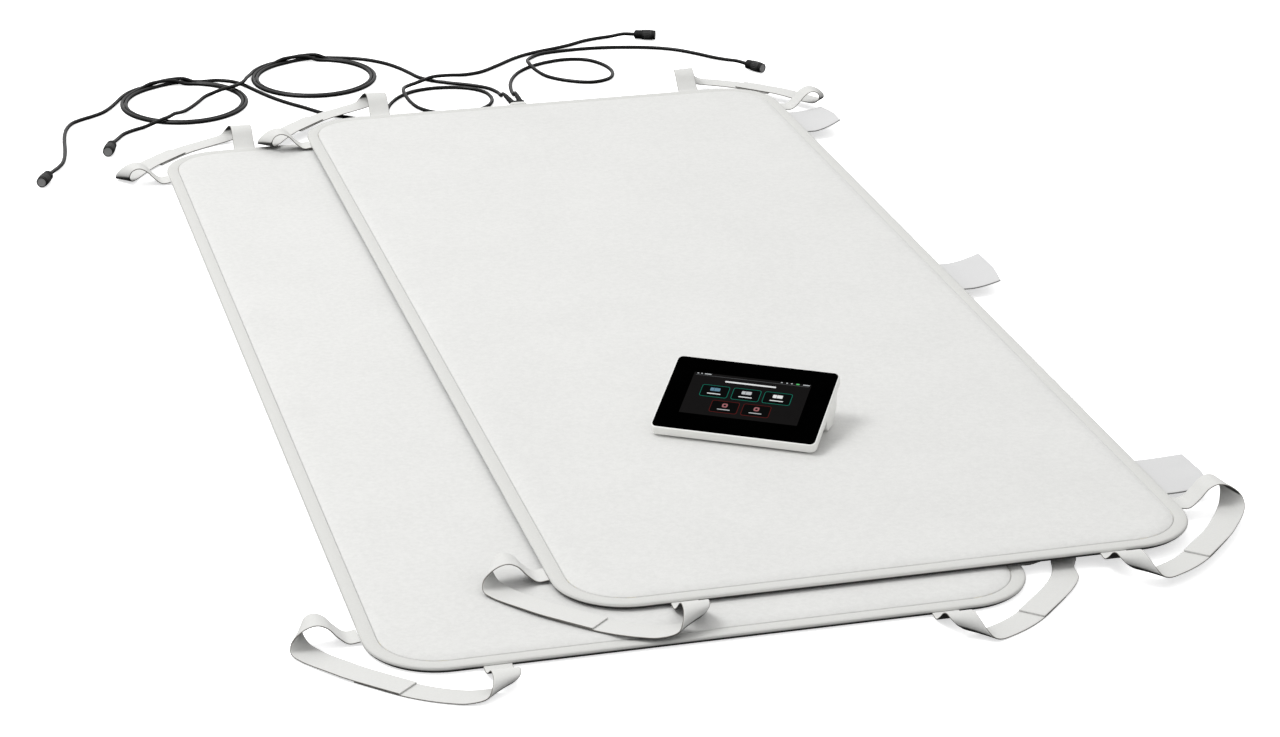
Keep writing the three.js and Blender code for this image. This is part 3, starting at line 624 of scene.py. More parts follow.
def plug_body():
    """Ribbed grip, shoulder, hidden neck and nose rim."""
    profile = [(0, 0), (3.9, 0), (5.2, 0.5), (6.9, 1.9)]
    for rib in range(4):
        y = 2.5 + rib * 2.5
        profile += [(7.35, y), (7.8, y + 0.4), (7.8, y + 1.5), (7.35, y + 1.9)]
    profile += [(7.6, 12.8), (8.5, 13.3), (8.5, 14.6), (8.2, 15), (6.8, 15), (6.8, NOSE_START),
                (7.9, NOSE_START), (8.2, NOSE_START + 0.4), (8.2, NOSE_START + 1.6),
                (7.9, NOSE_START + 2.0), (7.9, NOSE_START + 4.4), (7.5, NOSE_START + 5),
                (6.9, NOSE_START + 5), (6.7, NOSE_START + 4.7), (6.7, NOSE_START + 3.2),
                (0, NOSE_START + 3.2)]
    return turned(profile, 40)


def coupling_ring():
    """A hollow ring with ribs along it, plain bands at both ends."""
    turns = 72
    stations = [(Vector((0, RING_START * MM, 0)),
                 Vector((math.cos(2 * math.pi * i / turns), 0, math.sin(2 * math.pi * i / turns))),
                 Vector((0, 1, 0))) for i in range(turns)]

    def section(row):
        outer = 8.8 - (0.55 if row % 4 in (1, 2) else 0.0)
        points = [(7.1, 0), (8.1, 0), (8.5, 0.4), (8.5, 1.9), (8.3, 2.1), (outer, 2.7),
                  (outer, 11.8), (8.3, 12.4), (8.6, 12.7), (8.6, 15.5), (8.3, 16), (7.1, 16)]
        return [(a * MM, b * MM) for a, b in points]

    return sweep(stations, section, closed=True)


def plug_face():
    """Insert with a raised rim and four contact pins, seated in the nose."""
    seat = NOSE_START + 3.25
    disc = turned([(0, seat), (6.6, seat), (6.6, seat + 0.95), (6.3, seat + 1.2),
                   (5.8, seat + 1.2), (5.6, seat + 0.8), (0, seat + 0.8)], 32)
    pins = []
    for x, z in four_round(3.1):
        pins.append(turned([(0, seat + 0.8), (0.7, seat + 0.8), (0.7, seat + 1.3),
                            (0.4, seat + 1.55), (0, seat + 1.55)], 10))
        shift(pins[-1], x, 0, z)
    return gather(disc, *pins)


COILED = ("lead_a", "lead_b")
# The leads of the upper mat, and how far over the floor each would give way when that mat lifts;
# add_leads works out that point but does not move the cable by it.
GIVE = {"lead_a": (-0.094, 0.154), "lead_c": (0.09, 0.12)}


def add_leads():
    for name, route in lead_paths().items():
        path = smooth_curve(route, 6)
        bm = sweep(upright_stations(path), ring(CORD / 2, 12))
        body = None if name in GIVE else "lower_mat"
        solids = [name]
        if name in COILED:
            solids = [f"{name}_{part}" for part in ("run", "coil", "tail")]
        cable = piece(f"{name}_cable", bm, "lead_jacket", body, solids, sharp=80)
        if name in GIVE:
            start = path[0]
            end = start + Vector((*GIVE[name], 0))
            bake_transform(cable)
        place = plug_place(route)
        plug = piece(f"{name}_plug_grip", plug_body(), "black_rubber", "lower_mat",
                     (f"{name}_plug",), place)
        collar = piece(f"{name}_plug_collar", coupling_ring(), "plug_metal", f"{name}_ring",
                       (f"{name}_coupling_ring",), place, sharp=25)
        face = piece(f"{name}_plug_contacts", plug_face(), "contact_metal", "lower_mat", (), place)
        round(length_of(path), 3)


# ---- mats ----
HALF_WIDTH = 380
HALF_LENGTH = 900
CORNER = 85
MAT_AT = {"lower": Vector((0, 0, 0)), "upper": Vector((228, 74, 12)) * MM}

PANEL_EDGE = 17.0
SEWN_HEIGHT = 4.0
# (distance in from the sewn edge, height of the top) in mm.
RISE = [(0, SEWN_HEIGHT), (0.04, 7.9), (0.4, 8.5), (1.6, 9.0), (3.6, 9.7), (6.0, 10.4), (9.5, 11.1),
        (15, 11.45), (24, 11.6), (34, 11.6), (50, 11.6), (67.8, 11.6)]


def spread(half, corner):
    """Places along one side of a panel: close at both edges, even between."""
    edge = [-half + step for step, _ in RISE if step < corner - 1] + [-half + corner]
    inner = half - corner
    count = max(2, round(2 * inner / 12))
    middle = [-inner + 2 * inner * i / count for i in range(1, count)]
    return edge + middle + [-x for x in reversed(edge)]


def height_at(step):
    for (a, low), (b, high) in zip(RISE, RISE[1:]):
        if step <= b:
            return low + (high - low) * (step - a) / (b - a)
    return RISE[-1][1]


def panel(seed):
    """The padded middle of a mat: it rises from its sewn edge to a flat, faintly uneven top."""
    half_width, half_length = HALF_WIDTH - PANEL_EDGE, HALF_LENGTH - PANEL_EDGE
    corner = CORNER - PANEL_EDGE
    across, along = spread(half_width, corner), spread(half_length, corner)
    sheets = []
    for top in (True, False):
        bm = grid(len(across) - 1, len(along) - 1)
        for index, vert in enumerate(bm.verts):
            row, column = divmod(index, len(across))
            x, y = across[column], along[row]
            p, q = abs(x) - (half_width - corner), abs(y) - (half_length - corner)
            step = min(half_width - abs(x), half_length - abs(y))
            if p > 0 and q > 0:
                pull = max(p, q) / math.hypot(p, q)
                x = math.copysign(half_width - corner + p * pull, x)
                y = math.copysign(half_length - corner + q * pull, y)
                step = corner - max(p, q)
            z = height_at(step)
            soft = min(step / 30, 1.0)
            if top:
                z += soft * 0.16 * noise.noise(Vector((x / 120, y / 150, seed)))
                pucker = max(0.0, 1 - abs(step - 7) / 7) * 0.35
                z += pucker * noise.noise(Vector((x / 14, y / 14, seed + 3)))
            else:
                z = SEWN_HEIGHT if step <= 0 else max(0.15, SEWN_HEIGHT - 8 * step)
            vert.co = Vector((x, y, z)) * MM
        if not top:
            bmesh.ops.reverse_faces(bm, faces=bm.faces)
        sheets.append(bm)
    return close_up(gather(*sheets))


def outline(inset, spacing=14, corner_steps=16):
    """Places round a mat at an inset from its edge, as (point, outward)."""
    radius = CORNER - inset
    centre = Vector((HALF_WIDTH - CORNER, HALF_LENGTH - CORNER))
    found = []
    for quarter in range(4):
        sign_x = 1 if quarter in (0, 3) else -1
        sign_y = 1 if quarter in (0, 1) else -1
        hub = Vector((centre.x * sign_x, centre.y * sign_y))
        for i in range(corner_steps + 1):
            angle = math.pi / 2 * (quarter + i / corner_steps)
            out = Vector((math.cos(angle), math.sin(angle)))
            found.append((hub + out * radius, out))
        side = 2 * (centre.x if quarter in (0, 2) else centre.y)
        ahead = Vector((-out.y, out.x))
        count = round(side / spacing)
        start = found[-1][0].copy()
        found += [(start + ahead * side * i / count, out) for i in range(1, count)]
    return found


BINDING_SECTION = [
    (-16.9, 0.4), (-15.5, 0.1), (-5.5, 0.1), (-4.2, 0.5), (-2.8, 1.6), (-1.3, 3.1), (-0.4, 4.3),
    (0, 5.4), (-0.1, 6.5), (-0.8, 7.8), (-2.2, 8.5), (-4.2, 8.8), (-8, 8.9), (-11.5, 8.85),
    (-13.4, 8.5), (-14.6, 8.3), (-15.7, 8.3), (-16.5, 7.8), (-16.9, 6.6), (-16.9, 3)]


def binding(seed):
    """The bound edge: a flat folded tape with a rounded outer edge, pulled down at its seam."""
    places = outline(0)
    stations = [(Vector((*point, 0)) * MM, Vector((*out, 0)), Vector((0, 0, 1)))
                for point, out in places]

    def section(row):
        point = places[row][0]
        ripple = noise.noise(Vector((point.x / 16, point.y / 16, seed)))
        swell = noise.noise(Vector((point.x / 70, point.y / 70, seed + 5)))
        return [((a + (0.25 * ripple if a > -2 else 0)) * MM,
                 (b + (0.16 * ripple + 0.1 * swell if b > 5 else 0)) * MM)
                for a, b in BINDING_SECTION]

    return sweep(stations, section, closed=True)


STITCH = (1.5, 0.36, 0.3)
STITCH_PITCH = 4.6
STITCH_INSET = 13.5
STITCH_HEIGHT = 8.2


def stitching():
    """A row of short thread loops in the binding's seam."""
    template = bmesh.new()
    bmesh.ops.create_uvsphere(template, u_segments=6, v_segments=4, radius=1)
    bmesh.ops.scale(template, vec=[size * MM for size in STITCH], verts=template.verts)
    mesh = bpy.data.meshes.new("stitch")
    template.to_mesh(mesh)
    template.free()
    whole = bmesh.new()
    for point, out in outline(STITCH_INSET, STITCH_PITCH, 25):
        first = len(whole.verts)
        whole.from_mesh(mesh)
        whole.verts.ensure_lookup_table()
        turn = Matrix.Rotation(math.atan2(out.x, -out.y), 4, "Z")
        where = Matrix.Translation(Vector((*point, STITCH_HEIGHT)) * MM)
        bmesh.ops.transform(whole, matrix=where @ turn, verts=whole.verts[first:])
    bpy.data.meshes.remove(mesh)
    return whole


GLAND_X = -25
GLAND_NEAR = 900.3
GLAND_FAR = 913.5
GLAND_HALF = 14
GLAND_TOP = 8.6
YOKE_HALF = 11.8
BOOT_HEIGHT = 4.8
BOOT_TIP = 958.6


def gland():
    """The padded outlet that the two leads leave by."""
    bm = block((GLAND_X - GLAND_HALF, GLAND_NEAR, 0.5),
               (GLAND_X + GLAND_HALF, GLAND_FAR, GLAND_TOP))
    middle = (GLAND_NEAR + GLAND_FAR) / 2 * MM
    bevel(bm, [e for e in upright_edges(bm, MM) if e.verts[0].co.y > middle], 7, 8)
    top = [e for e in bm.edges if min(v.co.z for v in e.verts) > (GLAND_TOP - 0.1) * MM
           and max(v.co.y for v in e.verts) > GLAND_NEAR * MM + 1e-5]
    bevel(bm, top, 3.6, 6)
    soften(bm, 0.5, 2)
    return bm


def strain_relief():
    """A yoke with two ribbed boots, one for each lead."""
    start = GLAND_FAR + JOINT_GAP
    parts = [block((GLAND_X - YOKE_HALF, start, 0.4), (GLAND_X + YOKE_HALF, start + 4, 9.2), 1.2)]
    length = BOOT_TIP - start - 1.5
    profile = [(0, 0), (4.6, 0)]
    ribs = 10
    for rib in range(ribs):
        y, radius = 4 + rib * (length - 6) / ribs, 4.65 - rib * 0.1
        profile += [(radius, y), (radius - 0.55, y + 0.5), (radius - 0.6, y + 1.4),
                    (radius - 0.05, y + 1.9)]
    profile += [(3.6, length - 1), (3.35, length), (0, length)]
    for side in (-1, 1):
        boot = turned(profile, 28)
        spread_angle = -side * math.asin(2.5 / length)
        where = Matrix.Translation(
            Vector((GLAND_X + side * 6.5, start + 1.5, BOOT_HEIGHT)) * MM)
        bmesh.ops.transform(boot, verts=boot.verts,
                            matrix=where @ Matrix.Rotation(spread_angle, 4, "Z"))
        parts.append(boot)
    return gather(*parts)


def add_mats():
    for seed, (name, at) in enumerate(MAT_AT.items()):
        body, place = f"{name}_mat", Matrix.Translation(at)
        pad = piece(f"{name}_padded_panel", panel(seed + 0.5), "cover_fabric", body,
                    (f"{name}_top_cover", f"{name}_bottom_cover"), place, sharp=60)
        edge = piece(f"{name}_binding_tape", binding(seed + 9.5), "binding_fabric", body,
                     (f"{name}_edge_binding",), place, sharp=60)
        piece(f"{name}_binding_stitches", stitching(), "thread", body, (), place, sharp=80)
        piece(f"{name}_lead_outlet", gland(), "gland_cover", body, (f"{name}_cable_gland",), place)
        piece(f"{name}_lead_boots", strain_relief(), "black_rubber", body,
              (f"{name}_strain_relief",), place)


# ---- corner straps ----
STRAP_WIDTH = 32
STRAP_THICKNESS = 1.6
STRAP_ROOT = 4.2
STRAP_ARCH = 29.5
PRESSED_ARCH = 10
SIDE_INSET = 107
END_INSET = {"left": 132, "right": 121}
NEAR_END_ARCH = {("lower", "left"): 20, ("lower", "right"): 25, ("upper", "left"): 25,
                 ("upper", "right"): 25}


# Rows of the bands: x, y and z in mm from the mat's corner, and the heading in degrees.
def side_band():
    y = -SIDE_INSET
    return [(0.3, y, STRAP_ROOT, 90), (13, y, 3.6, 90), (25, y, 13, 90), (36, y, 25, 90),
            (47, y, STRAP_ARCH, 88), (59, y + 1, 26, 80), (68, y + 5, 15, 62), (67, y + 14, 5, 45),
            (58, -77, 2.2, 34), (47, -60, 2.4, 31), (34, -42, 3.2, 34), (20, -24, 3.4, 38),
            (0, -3, 3.4, 41), (-29, 26, 3.4, 43)]


def end_band(inset, arch):
    x = -inset
    rows = [(x, 0.3, STRAP_ROOT, 0), (x, 13, 3.6, 0), (x, 25, 13, 0), (x, 36, 25, 0),
            (x + 0.5, 46, STRAP_ARCH, 3), (x + 2.5, 57, 26, 12), (x + 8, 63.5, 17, 28),
            (x + 17, 65.5, 8, 47), (-90, 62, 2.6, 64), (-70, 53, 1.5, 68), (-48, 40, 1.3, 61),
            (-29, 25, 1.3, 51), (-8, 4, 1.3, 46), (12, -17, 1.3, 44)]
    share = (arch - STRAP_ROOT) / (STRAP_ARCH - STRAP_ROOT)
    return [(x, y, z if z <= STRAP_ROOT else STRAP_ROOT + (z - STRAP_ROOT) * share, turn)
            for x, y, z, turn in rows]


def pressed_side_band():
    """Its roll pressed to a flat fold by the mat lying on it."""
    y = -SIDE_INSET
    return [(0.3, y, STRAP_ROOT, 90), (13, y, 3.6, 90), (25, y, 6.2, 88), (36, y, 9, 84),
            (47, y, PRESSED_ARCH, 76), (56, y + 1, PRESSED_ARCH - 0.4, 69),
            (61.5, y + 3.6, 6.6, 67), (58.5, y + 9, 3.4, 66), (52, y + 18, 2.3, 55),
            (45, -62, 2.4, 42), (34, -42, 3.2, 36), (20, -24, 3.4, 38), (0, -3, 3.4, 41),
            (-29, 26, 3.4, 43)]


def pressed_end_band(inset):
    x = -inset
    return [(x, 0.3, STRAP_ROOT, 0), (x, 13, 3.6, 0), (x, 25, 6.2, 2), (x, 36, 9, 6),
            (x, 47, PRESSED_ARCH, 14), (x + 1, 56, PRESSED_ARCH - 0.4, 21),
            (x + 3.6, 61.5, 6.4, 23), (x + 9, 59, 3.2, 24), (x + 20, 55, 2.2, 37),
            (-72, 49, 1.5, 54), (-48, 38, 1.3, 57), (-29, 24, 1.3, 51), (-8, 4, 1.3, 46),
            (12, -17, 1.3, 44)]


def webbing_section(width, thickness):
    """A flat woven band with rounded selvedges and a slightly thicker middle."""
    half, thick = width / 2, thickness / 2
    top = [(half * s, thick * h) for s, h in
           ((-0.955, 0.92), (-0.85, 1.0), (-0.5, 0.97), (0, 1.0), (0.5, 0.97), (0.85, 1.0),
            (0.955, 0.92))]
    side = [(half * 0.99, thick * 0.55), (half, 0), (half * 0.99, -thick * 0.55)]
    under = [(a, -b) for a, b in reversed(top)]
    other = [(-a, -b) for a, b in side]
    return [(a * MM, b * MM) for a, b in top + side + under + other]


def band_stations(rows, mirror_x, mirror_y, corner, steps):
    """Stations along a band; its heading rides on the same curve, as a fourth number."""
    rows = [Vector((x * MM, y * MM, z * MM, turn)) for x, y, z, turn in rows]
    carried = smooth_curve(rows, steps)
    stations = []
    for i, row in enumerate(carried):
        ahead = (carried[min(i + 1, len(carried) - 1)].resized(3)
                 - carried[max(i - 1, 0)].resized(3)).normalized()
        heading = math.radians(row[3])
        across = Vector((math.cos(heading), math.sin(heading), 0))
        up = ahead.cross(across).normalized()
        flip = Vector((mirror_x, mirror_y, 1))
        stations.append((corner + row.resized(3) * flip, across * flip, up * flip))
    return stations


def add_straps():
    for mat, at in MAT_AT.items():
        for end, mirror_y in (("near", -1), ("far", 1)):
            for side, mirror_x in (("left", -1), ("right", 1)):
                under = mat == "lower" and side == "right"
                arch = STRAP_ARCH if end == "far" else NEAR_END_ARCH[mat, side]
                inset = END_INSET[side]
                paths = {
                    "end_band": pressed_end_band(inset) if under and end == "far"
                    else end_band(inset, arch),
                    "side_band": pressed_side_band() if under else side_band()}
                corner = at + Vector((mirror_x * HALF_WIDTH, mirror_y * HALF_LENGTH, 0)) * MM
                for band, rows in paths.items():
                    stations = band_stations(rows, mirror_x, mirror_y, corner, 6)
                    name = f"{mat}_{end}_{side}_{band}"
                    bm = sweep(stations, webbing_section(STRAP_WIDTH, STRAP_THICKNESS))
                    strap = piece(f"{name}_webbing", bm, "strap_webbing", f"{mat}_mat", (name,),
                                  sharp=50)
                    length = length_of([s[0] for s in stations])
                    band == "side_band"


# ---- side tabs ----
TAB_WIDTH = 100
TAB_REACH = 58
TAB_THICKNESS = 2
TAB_PLACES = {"near": -713, "middle": -5, "far": 713}
# How far the free end's nearer and farther corners reach and lift beyond the sewn flap's.
TAB_CORNERS = {"near": ((1, 4), (8, 2)), "middle": ((0, 8), (4, 11)), "far": ((0, 15), (0, 5))}


def tab(y, corners, seed):
    """A sewn flap, faintly wavy, its free end lifting more at one corner."""
    (reach_a, lift_a), (reach_b, lift_b) = corners
    steps, sides = 16, 24
    start = HALF_WIDTH + 0.8
    half = TAB_WIDTH / 2
    bm = grid(sides, steps)
    bm.loops.layers.uv.new("along")
    places = []
    for index, vert in enumerate(bm.verts):
        row, column = divmod(index, sides + 1)
        out, across = row / steps, column / sides * 2 - 1
        share = (across + 1) / 2
        reach = TAB_REACH + reach_a + (reach_b - reach_a) * share + 2.5 * math.cos(across * 2.6)
        x = start + reach * out
        rise = lift_a + (lift_b - lift_a) * share
        lift = 4.6 + rise * (max(0.0, out - 0.25) / 0.75) ** 1.5
        lift += 1.3 * out * noise.noise(Vector((across * 1.8, out * 1.2, seed)))
        vert.co = Vector((x, y + across * half, lift)) * MM
        places.append((x * MM, across * half * MM))
    lay_uv(bm, places)
    bmesh.ops.recalc_face_normals(bm, faces=bm.faces)
    if bm.faces[0].normal.z < 0:
        bmesh.ops.reverse_faces(bm, faces=bm.faces)
    bmesh.ops.solidify(bm, geom=bm.faces[:] + bm.edges[:] + bm.verts[:],
                       thickness=TAB_THICKNESS * MM)
    bmesh.ops.translate(bm, vec=(0, 0, -TAB_THICKNESS / 2 * MM), verts=bm.verts)
    bmesh.ops.recalc_face_normals(bm, faces=bm.faces)
    soften(bm, 0.5, 2, 60)
    return bm


def add_tabs():
    for mat, at in MAT_AT.items():
        for seed, (name, y) in enumerate(TAB_PLACES.items()):
            body = "lower_mat" if mat == "lower" else f"{name}_tab"
            bm = tab(y, TAB_CORNERS[name], seed * 2.7 + (0 if mat == "lower" else 9))
            flap = piece(f"{mat}_{name}_tab_flap", bm, "tab_webbing", body,
                         (f"{mat}_{name}_tab",), Matrix.Translation(at), sharp=50)


# ---- controller ----
CONTROLLER_AT = Vector((146.3, -439.8, 24.0)) * MM
CONTROLLER_TURN = math.radians(-31.9)
TILT = math.radians(20.1)
GLASS_WIDTH = 205
GLASS_DEPTH = 130
GLASS_THICKNESS = 1.8
GLASS_RADIUS = 6
RIM = 2
FRONT_HEIGHT = 14.5
SLAB = 13
WEDGE_FRONT = 76
WEDGE_REAR = 117
TOE = (97, 0.9)
HEEL_HEIGHT = 17
WEDGE_SIDE_STEP = 2.5
WEDGE_SETBACK = 9
BUTTON_X = 82

BASE = Matrix.Translation(CONTROLLER_AT) @ Matrix.Rotation(CONTROLLER_TURN, 4, "Z")
SLOPE = (BASE @ Matrix.Translation(Vector((0, 0, FRONT_HEIGHT)) * MM)
         @ Matrix.Rotation(TILT, 4, "X"))


def on_slope(up, off):
    """A point of the side view: distance up the slope and height off the glass."""
    return (up * math.cos(TILT) - off * math.sin(TILT),
            FRONT_HEIGHT + up * math.sin(TILT) + off * math.cos(TILT))


def front_shell():
    """The white slab round the glass, with a seat let into its face."""
    bm = block((-GLASS_WIDTH / 2 - RIM, -RIM, -SLAB),
               (GLASS_WIDTH / 2 + RIM, GLASS_DEPTH + RIM, -0.2), upright=GLASS_RADIUS + RIM)
    soften(bm, 1.3, 4, 60)
    top = max(bm.faces, key=lambda f: f.calc_center_median().z)
    bmesh.ops.inset_region(bm, faces=[top], thickness=0.35 * MM, use_even_offset=True)
    top = max(bm.faces, key=lambda f: (round(f.calc_center_median().z, 6), f.calc_area()))
    bmesh.ops.translate(bm, vec=(0, 0, -1.95 * MM), verts=top.verts)
    return bm


def glass():
    return block((-GLASS_WIDTH / 2, 0, -GLASS_THICKNESS), (GLASS_WIDTH / 2, GLASS_DEPTH, 0), 0.35,
                 upright=GLASS_RADIUS)


def rear_shell():
    under = -SLAB - JOINT_GAP
    toe = (WEDGE_FRONT - WEDGE_SETBACK + under * math.sin(TILT)) / math.cos(TILT)
    heel = (WEDGE_REAR + under * math.sin(TILT)) / math.cos(TILT)
    side = [on_slope(toe, under), (WEDGE_FRONT - 5, 6), (WEDGE_FRONT, TOE[1]), TOE,
            (TOE[0] + 6, 5), (WEDGE_REAR, HEEL_HEIGHT), on_slope(heel, under)]
    bm = extruded(side, GLASS_WIDTH / 2 + RIM - WEDGE_SIDE_STEP)
    soften(bm, 1.4, 4, 20)
    return bm


PANEL_X = -12
PANEL_Z = 30
PANEL_WIDTH = 132
PANEL_HEIGHT = 17
PANEL_FACE = WEDGE_REAR + JOINT_GAP
SOCKETS = 4
SOCKET_PITCH = 25


def socket_x(index):
    """The middle of a socket; the power inlet follows the last one."""
    return PANEL_X - PANEL_WIDTH / 2 + SOCKET_PITCH * (index + 0.6)


def socket_panel():
    """The rear plate with four threaded sockets and the power inlet."""
    half_width, half_height = PANEL_WIDTH / 2, PANEL_HEIGHT / 2
    parts = [block((PANEL_X - half_width, PANEL_FACE, PANEL_Z - half_height),
                   (PANEL_X + half_width, PANEL_FACE + 1.6, PANEL_Z + half_height), 0.6)]
    collar = [(0, 0.2), (7, 0.2), (7, 1.8)]
    for thread in range(3):
        y = 1.9 + thread * 0.75
        collar += [(7, y), (6.6, y + 0.25), (6.6, y + 0.4), (7, y + 0.6)]
    collar += [(6.8, 4.6), (5.0, 4.6), (4.7, 4.3), (4.6, 2.6), (0, 2.6)]
    inlet = [(0, 0.2), (4.5, 0.2), (4.5, 2.8), (4.2, 3.1), (3.2, 3.1), (3.0, 2.9), (3.0, 1.9),
             (1.0, 1.9), (0.9, 2.9), (0, 2.9)]
    for index in range(SOCKETS + 1):
        parts.append(turned(collar, 32) if index < SOCKETS else turned(inlet, 28))
        shift(parts[-1], socket_x(index), PANEL_FACE, PANEL_Z)
    return gather(*parts)


def socket_pins():
    pins = []
    for index in range(SOCKETS):
        for x, z in four_round(2.4):
            pins.append(turned([(0, 2.5), (0.55, 2.5), (0.55, 3.7), (0.3, 3.95), (0, 3.95)], 8))
            shift(pins[-1], socket_x(index) + x, PANEL_FACE, PANEL_Z + z)
    return gather(*pins)


def power_button():
    bm = turned([(0, -3.5), (4.5, -3.5), (4.5, 1.2), (4.3, 1.6), (3.9, 1.8), (3.2, 1.7),
                 (2.0, 1.45), (0, 1.35)], 32)
    shift(bm, BUTTON_X, WEDGE_REAR, PANEL_Z)
    return bm


def foot_strip():
    """The strip under the wedge, with five ribs along it."""
    parts = [block((-85, 80.5, 0), (85, 92.5, 0.45), 0.12, 2)]
    for i in range(5):
        y = 81.7 + i * 2.4
        parts.append(block((-84, y - 0.5, 0.4), (84, y + 0.5, 0.6), 0.05, 1))
    return gather(*parts)


def mark(x, y, width, height, layer, radius=0.0):
    """A thin flat shape on the display, centred at (x, y) from the glass's lower middle."""
    low, high = 0.04 + 0.05 * layer, 0.07 + 0.05 * layer
    return block((x - width / 2, y - height / 2, low), (x + width / 2, y + height / 2, high),
                 upright=radius, upright_segments=4)


DISPLAY_MIDDLE = 0.4965
DISPLAY_COLOURS = {
    "ground": (25, 24, 24), "line": (96, 98, 100), "teal": (24, 122, 102), "red": (96, 30, 28),
    "tile": (13, 14, 14), "bar": (196, 200, 202), "pale": (236, 238, 238), "blue": (104, 144, 166),
    "rose": (168, 108, 112), "green": (96, 204, 120)}


def display_marks():
    """Every lit area: the marks of one colour, by the colour's name."""
    layers = {name: [] for name in DISPLAY_COLOURS}

    def put(layer_name, s, t, width, height, layer, radius=0.0, dx=0.0, dy=0.0):
        """s runs across the glass from its left edge and t down from its top, 0 to 1."""
        x, y = (s - 0.5) * GLASS_WIDTH, (1 - t) * GLASS_DEPTH
        layers[layer_name].append(mark(x + dx, y + dy, width, height, layer, radius))

    put("ground", DISPLAY_MIDDLE, 0.489, 149.9, 75.1, 0, 1.0)
    put("line", DISPLAY_MIDDLE, 0.2335, 145, 0.5, 1)
    for s, width in ((0.155, 2.2), (0.178, 1.8), (0.217, 8.5), (0.679, 2.2), (0.712, 2.2),
                     (0.741, 2.2), (0.832, 8.5)):
        put("bar", s, 0.213, width, 1.5, 1, 0.3)
    put("green", 0.779, 0.213, 4.2, 2.0, 1, 0.5)
    put("pale", DISPLAY_MIDDLE, 0.29, 65, 2.6, 1, 0.6)
    for s, icon in ((0.297, "blue"), (0.493, "bar"), (0.687, "pale")):
        put("teal", s, 0.44, 35.5, 21.2, 1, 3.0)
        put("tile", s, 0.44, 34.1, 19.8, 2, 2.4)
        put(icon, s, 0.44, 12.5, 5.6, 3, 1.0, dy=3.2)
        put("tile", s, 0.44, 0.5, 5.0, 4, dx=-1.2, dy=3.2)
        put("pale", s, 0.44, 17, 1.5, 3, 0.4, dy=-4.6)
    for s in (0.3915, 0.588):
        put("red", s, 0.641, 35.5, 21.2, 1, 3.0)
        put("tile", s, 0.641, 34.1, 19.8, 2, 2.4)
        put("rose", s, 0.641, 7.0, 7.0, 3, 2.2, dy=2.8)
        put("tile", s, 0.641, 3.2, 3.2, 4, 1.0, dy=2.8)
        put("bar", s, 0.641, 16, 1.4, 3, 0.4, dy=-4.8)
    return layers


def add_controller():
    for name, bm, finish, nodes, place in (
            ("screen_frame", front_shell(), "white_plastic", ["front_housing"], SLOPE),
            ("glass_pane", glass(), "black_glass", ["front_glass"], SLOPE),
            ("wedge_shell", rear_shell(), "white_plastic", ["rear_housing"], BASE),
            ("sockets", socket_panel(), "black_plastic", ["socket_panel"], BASE),
            ("socket_pins", socket_pins(), "contact_metal", [], BASE),
            ("button_cap", power_button(), "grey_plastic", ["power_button"], BASE),
            ("ribbed_foot", foot_strip(), "black_rubber", ["foot_strip"], BASE)):
        piece(f"controller_{name}", bm, finish,
              "power_button" if name == "button_cap" else "controller",
              [f"controller_{node}" for node in nodes], place)
    for name, marks in display_marks().items():
        piece(f"display_{name}_marks", gather(*marks), f"display_{name}", "controller", (), SLOPE)


# ---- everything together ----
def seen_floor():
    """White floor: bright where it is seen, dim where it lights the undersides."""
    floor = Finish("studio_floor", 252, 0.9, Specular_IOR_Level=0.1, Emission_Strength=0.6)
    floor.shader.inputs["Emission Color"].default_value = (1, 1, 1, 1)
    soft = floor.grain(0.6, 2)
    floor.feed("Base Color", floor.mix(soft, 251, 253))
    dim = floor.node("ShaderNodeBsdfDiffuse", inputs={"Color": tint(70)})
    seen = floor.node("ShaderNodeLightPath", output="Is Camera Ray")
    shown = floor.node("ShaderNodeMixShader", inputs=[
        seen, dim, Socket(floor, floor.shader.outputs["BSDF"])])
    floor.tree.links.new(shown.output, floor.tree.nodes["Material Output"].inputs["Surface"])
    return floor.material


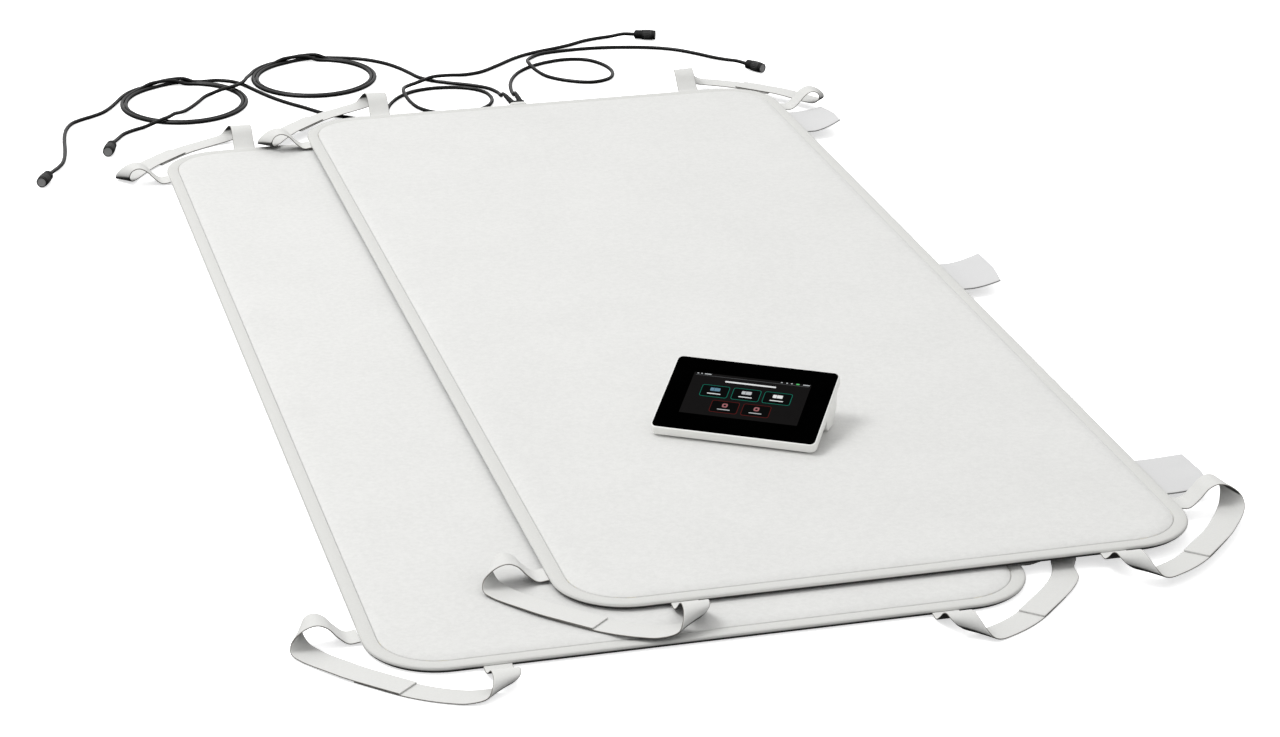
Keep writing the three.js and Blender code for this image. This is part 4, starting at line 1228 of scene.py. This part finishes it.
def all_finishes():
    return {
        "cover_fabric": woven("cover_fabric", (222, 222, 220), (202, 202, 200), 0.0011, 0.0002),
        "binding_fabric": taped("binding_fabric", (216, 216, 213), (198, 198, 195),
                                (200, 200, 198), 1.0, 0.0012, 0.00016),
        "gland_cover": moulded("gland_cover", (212, 212, 209), (202, 202, 199), 0.75),
        "thread": moulded("thread", (210, 210, 207), (198, 198, 195), 0.85, 3000, 0.0001),
        "strap_webbing": taped("strap_webbing", (222, 222, 220), (206, 206, 203), (128, 125, 120),
                               0.0158, 0.0014, 0.00016),
        "tab_webbing": taped("tab_webbing", (212, 212, 212), (200, 200, 200), (170, 170, 170),
                             0.0498, 0.0022, 0.00008),
        "lead_jacket": jacket(),
        "black_rubber": moulded("black_rubber", 9, 4, 0.5, Specular_IOR_Level=0.3),
        "black_plastic": moulded("black_plastic", 24, 16, 0.4),
        "plug_metal": brushed("plug_metal", 50, 34, 0.45, 0.4),
        "contact_metal": brushed("contact_metal", 178, 150, 0.5, 0.15),
        "white_plastic": moulded("white_plastic", (240, 240, 237), (234, 234, 231), 0.38),
        "grey_plastic": moulded("grey_plastic", (196, 198, 200), (186, 188, 190), 0.45),
        "black_glass": glossy_glass(),
        "studio_floor": seen_floor(),
        **{f"display_{name}": lit(f"display_{name}", color)
           for name, color in DISPLAY_COLOURS.items()},
    }


def dress_inner_parts():
    """The parts that stay as packed lie inside the covers and housings."""
    inner = {"foam_core": foam_cells(), "heating_element": carbon_weave(),
             "controller_display_module": moulded("display_panel", 40, 30, 0.5),
             "controller_main_board": circuit()}
    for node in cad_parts:
        for ending, material in inner.items():
            if node.endswith(ending):
                obj = bpy.data.objects[node]
                for slot in obj.material_slots:
                    slot.material = material


FLOOR_HALF = 20
FLOOR_LEVEL = -0.0002


def add_floor():
    bm = grid(8, 8)
    bmesh.ops.scale(bm, vec=(FLOOR_HALF, FLOOR_HALF, 1), verts=bm.verts)
    bmesh.ops.translate(bm, vec=(0, 0, FLOOR_LEVEL), verts=bm.verts)
    piece("studio_floor", bm, "studio_floor")


add_camera()
add_studio()
finishes = all_finishes()
add_leads()
add_mats()
add_straps()
add_tabs()
add_controller()
dress_inner_parts()
add_floor()
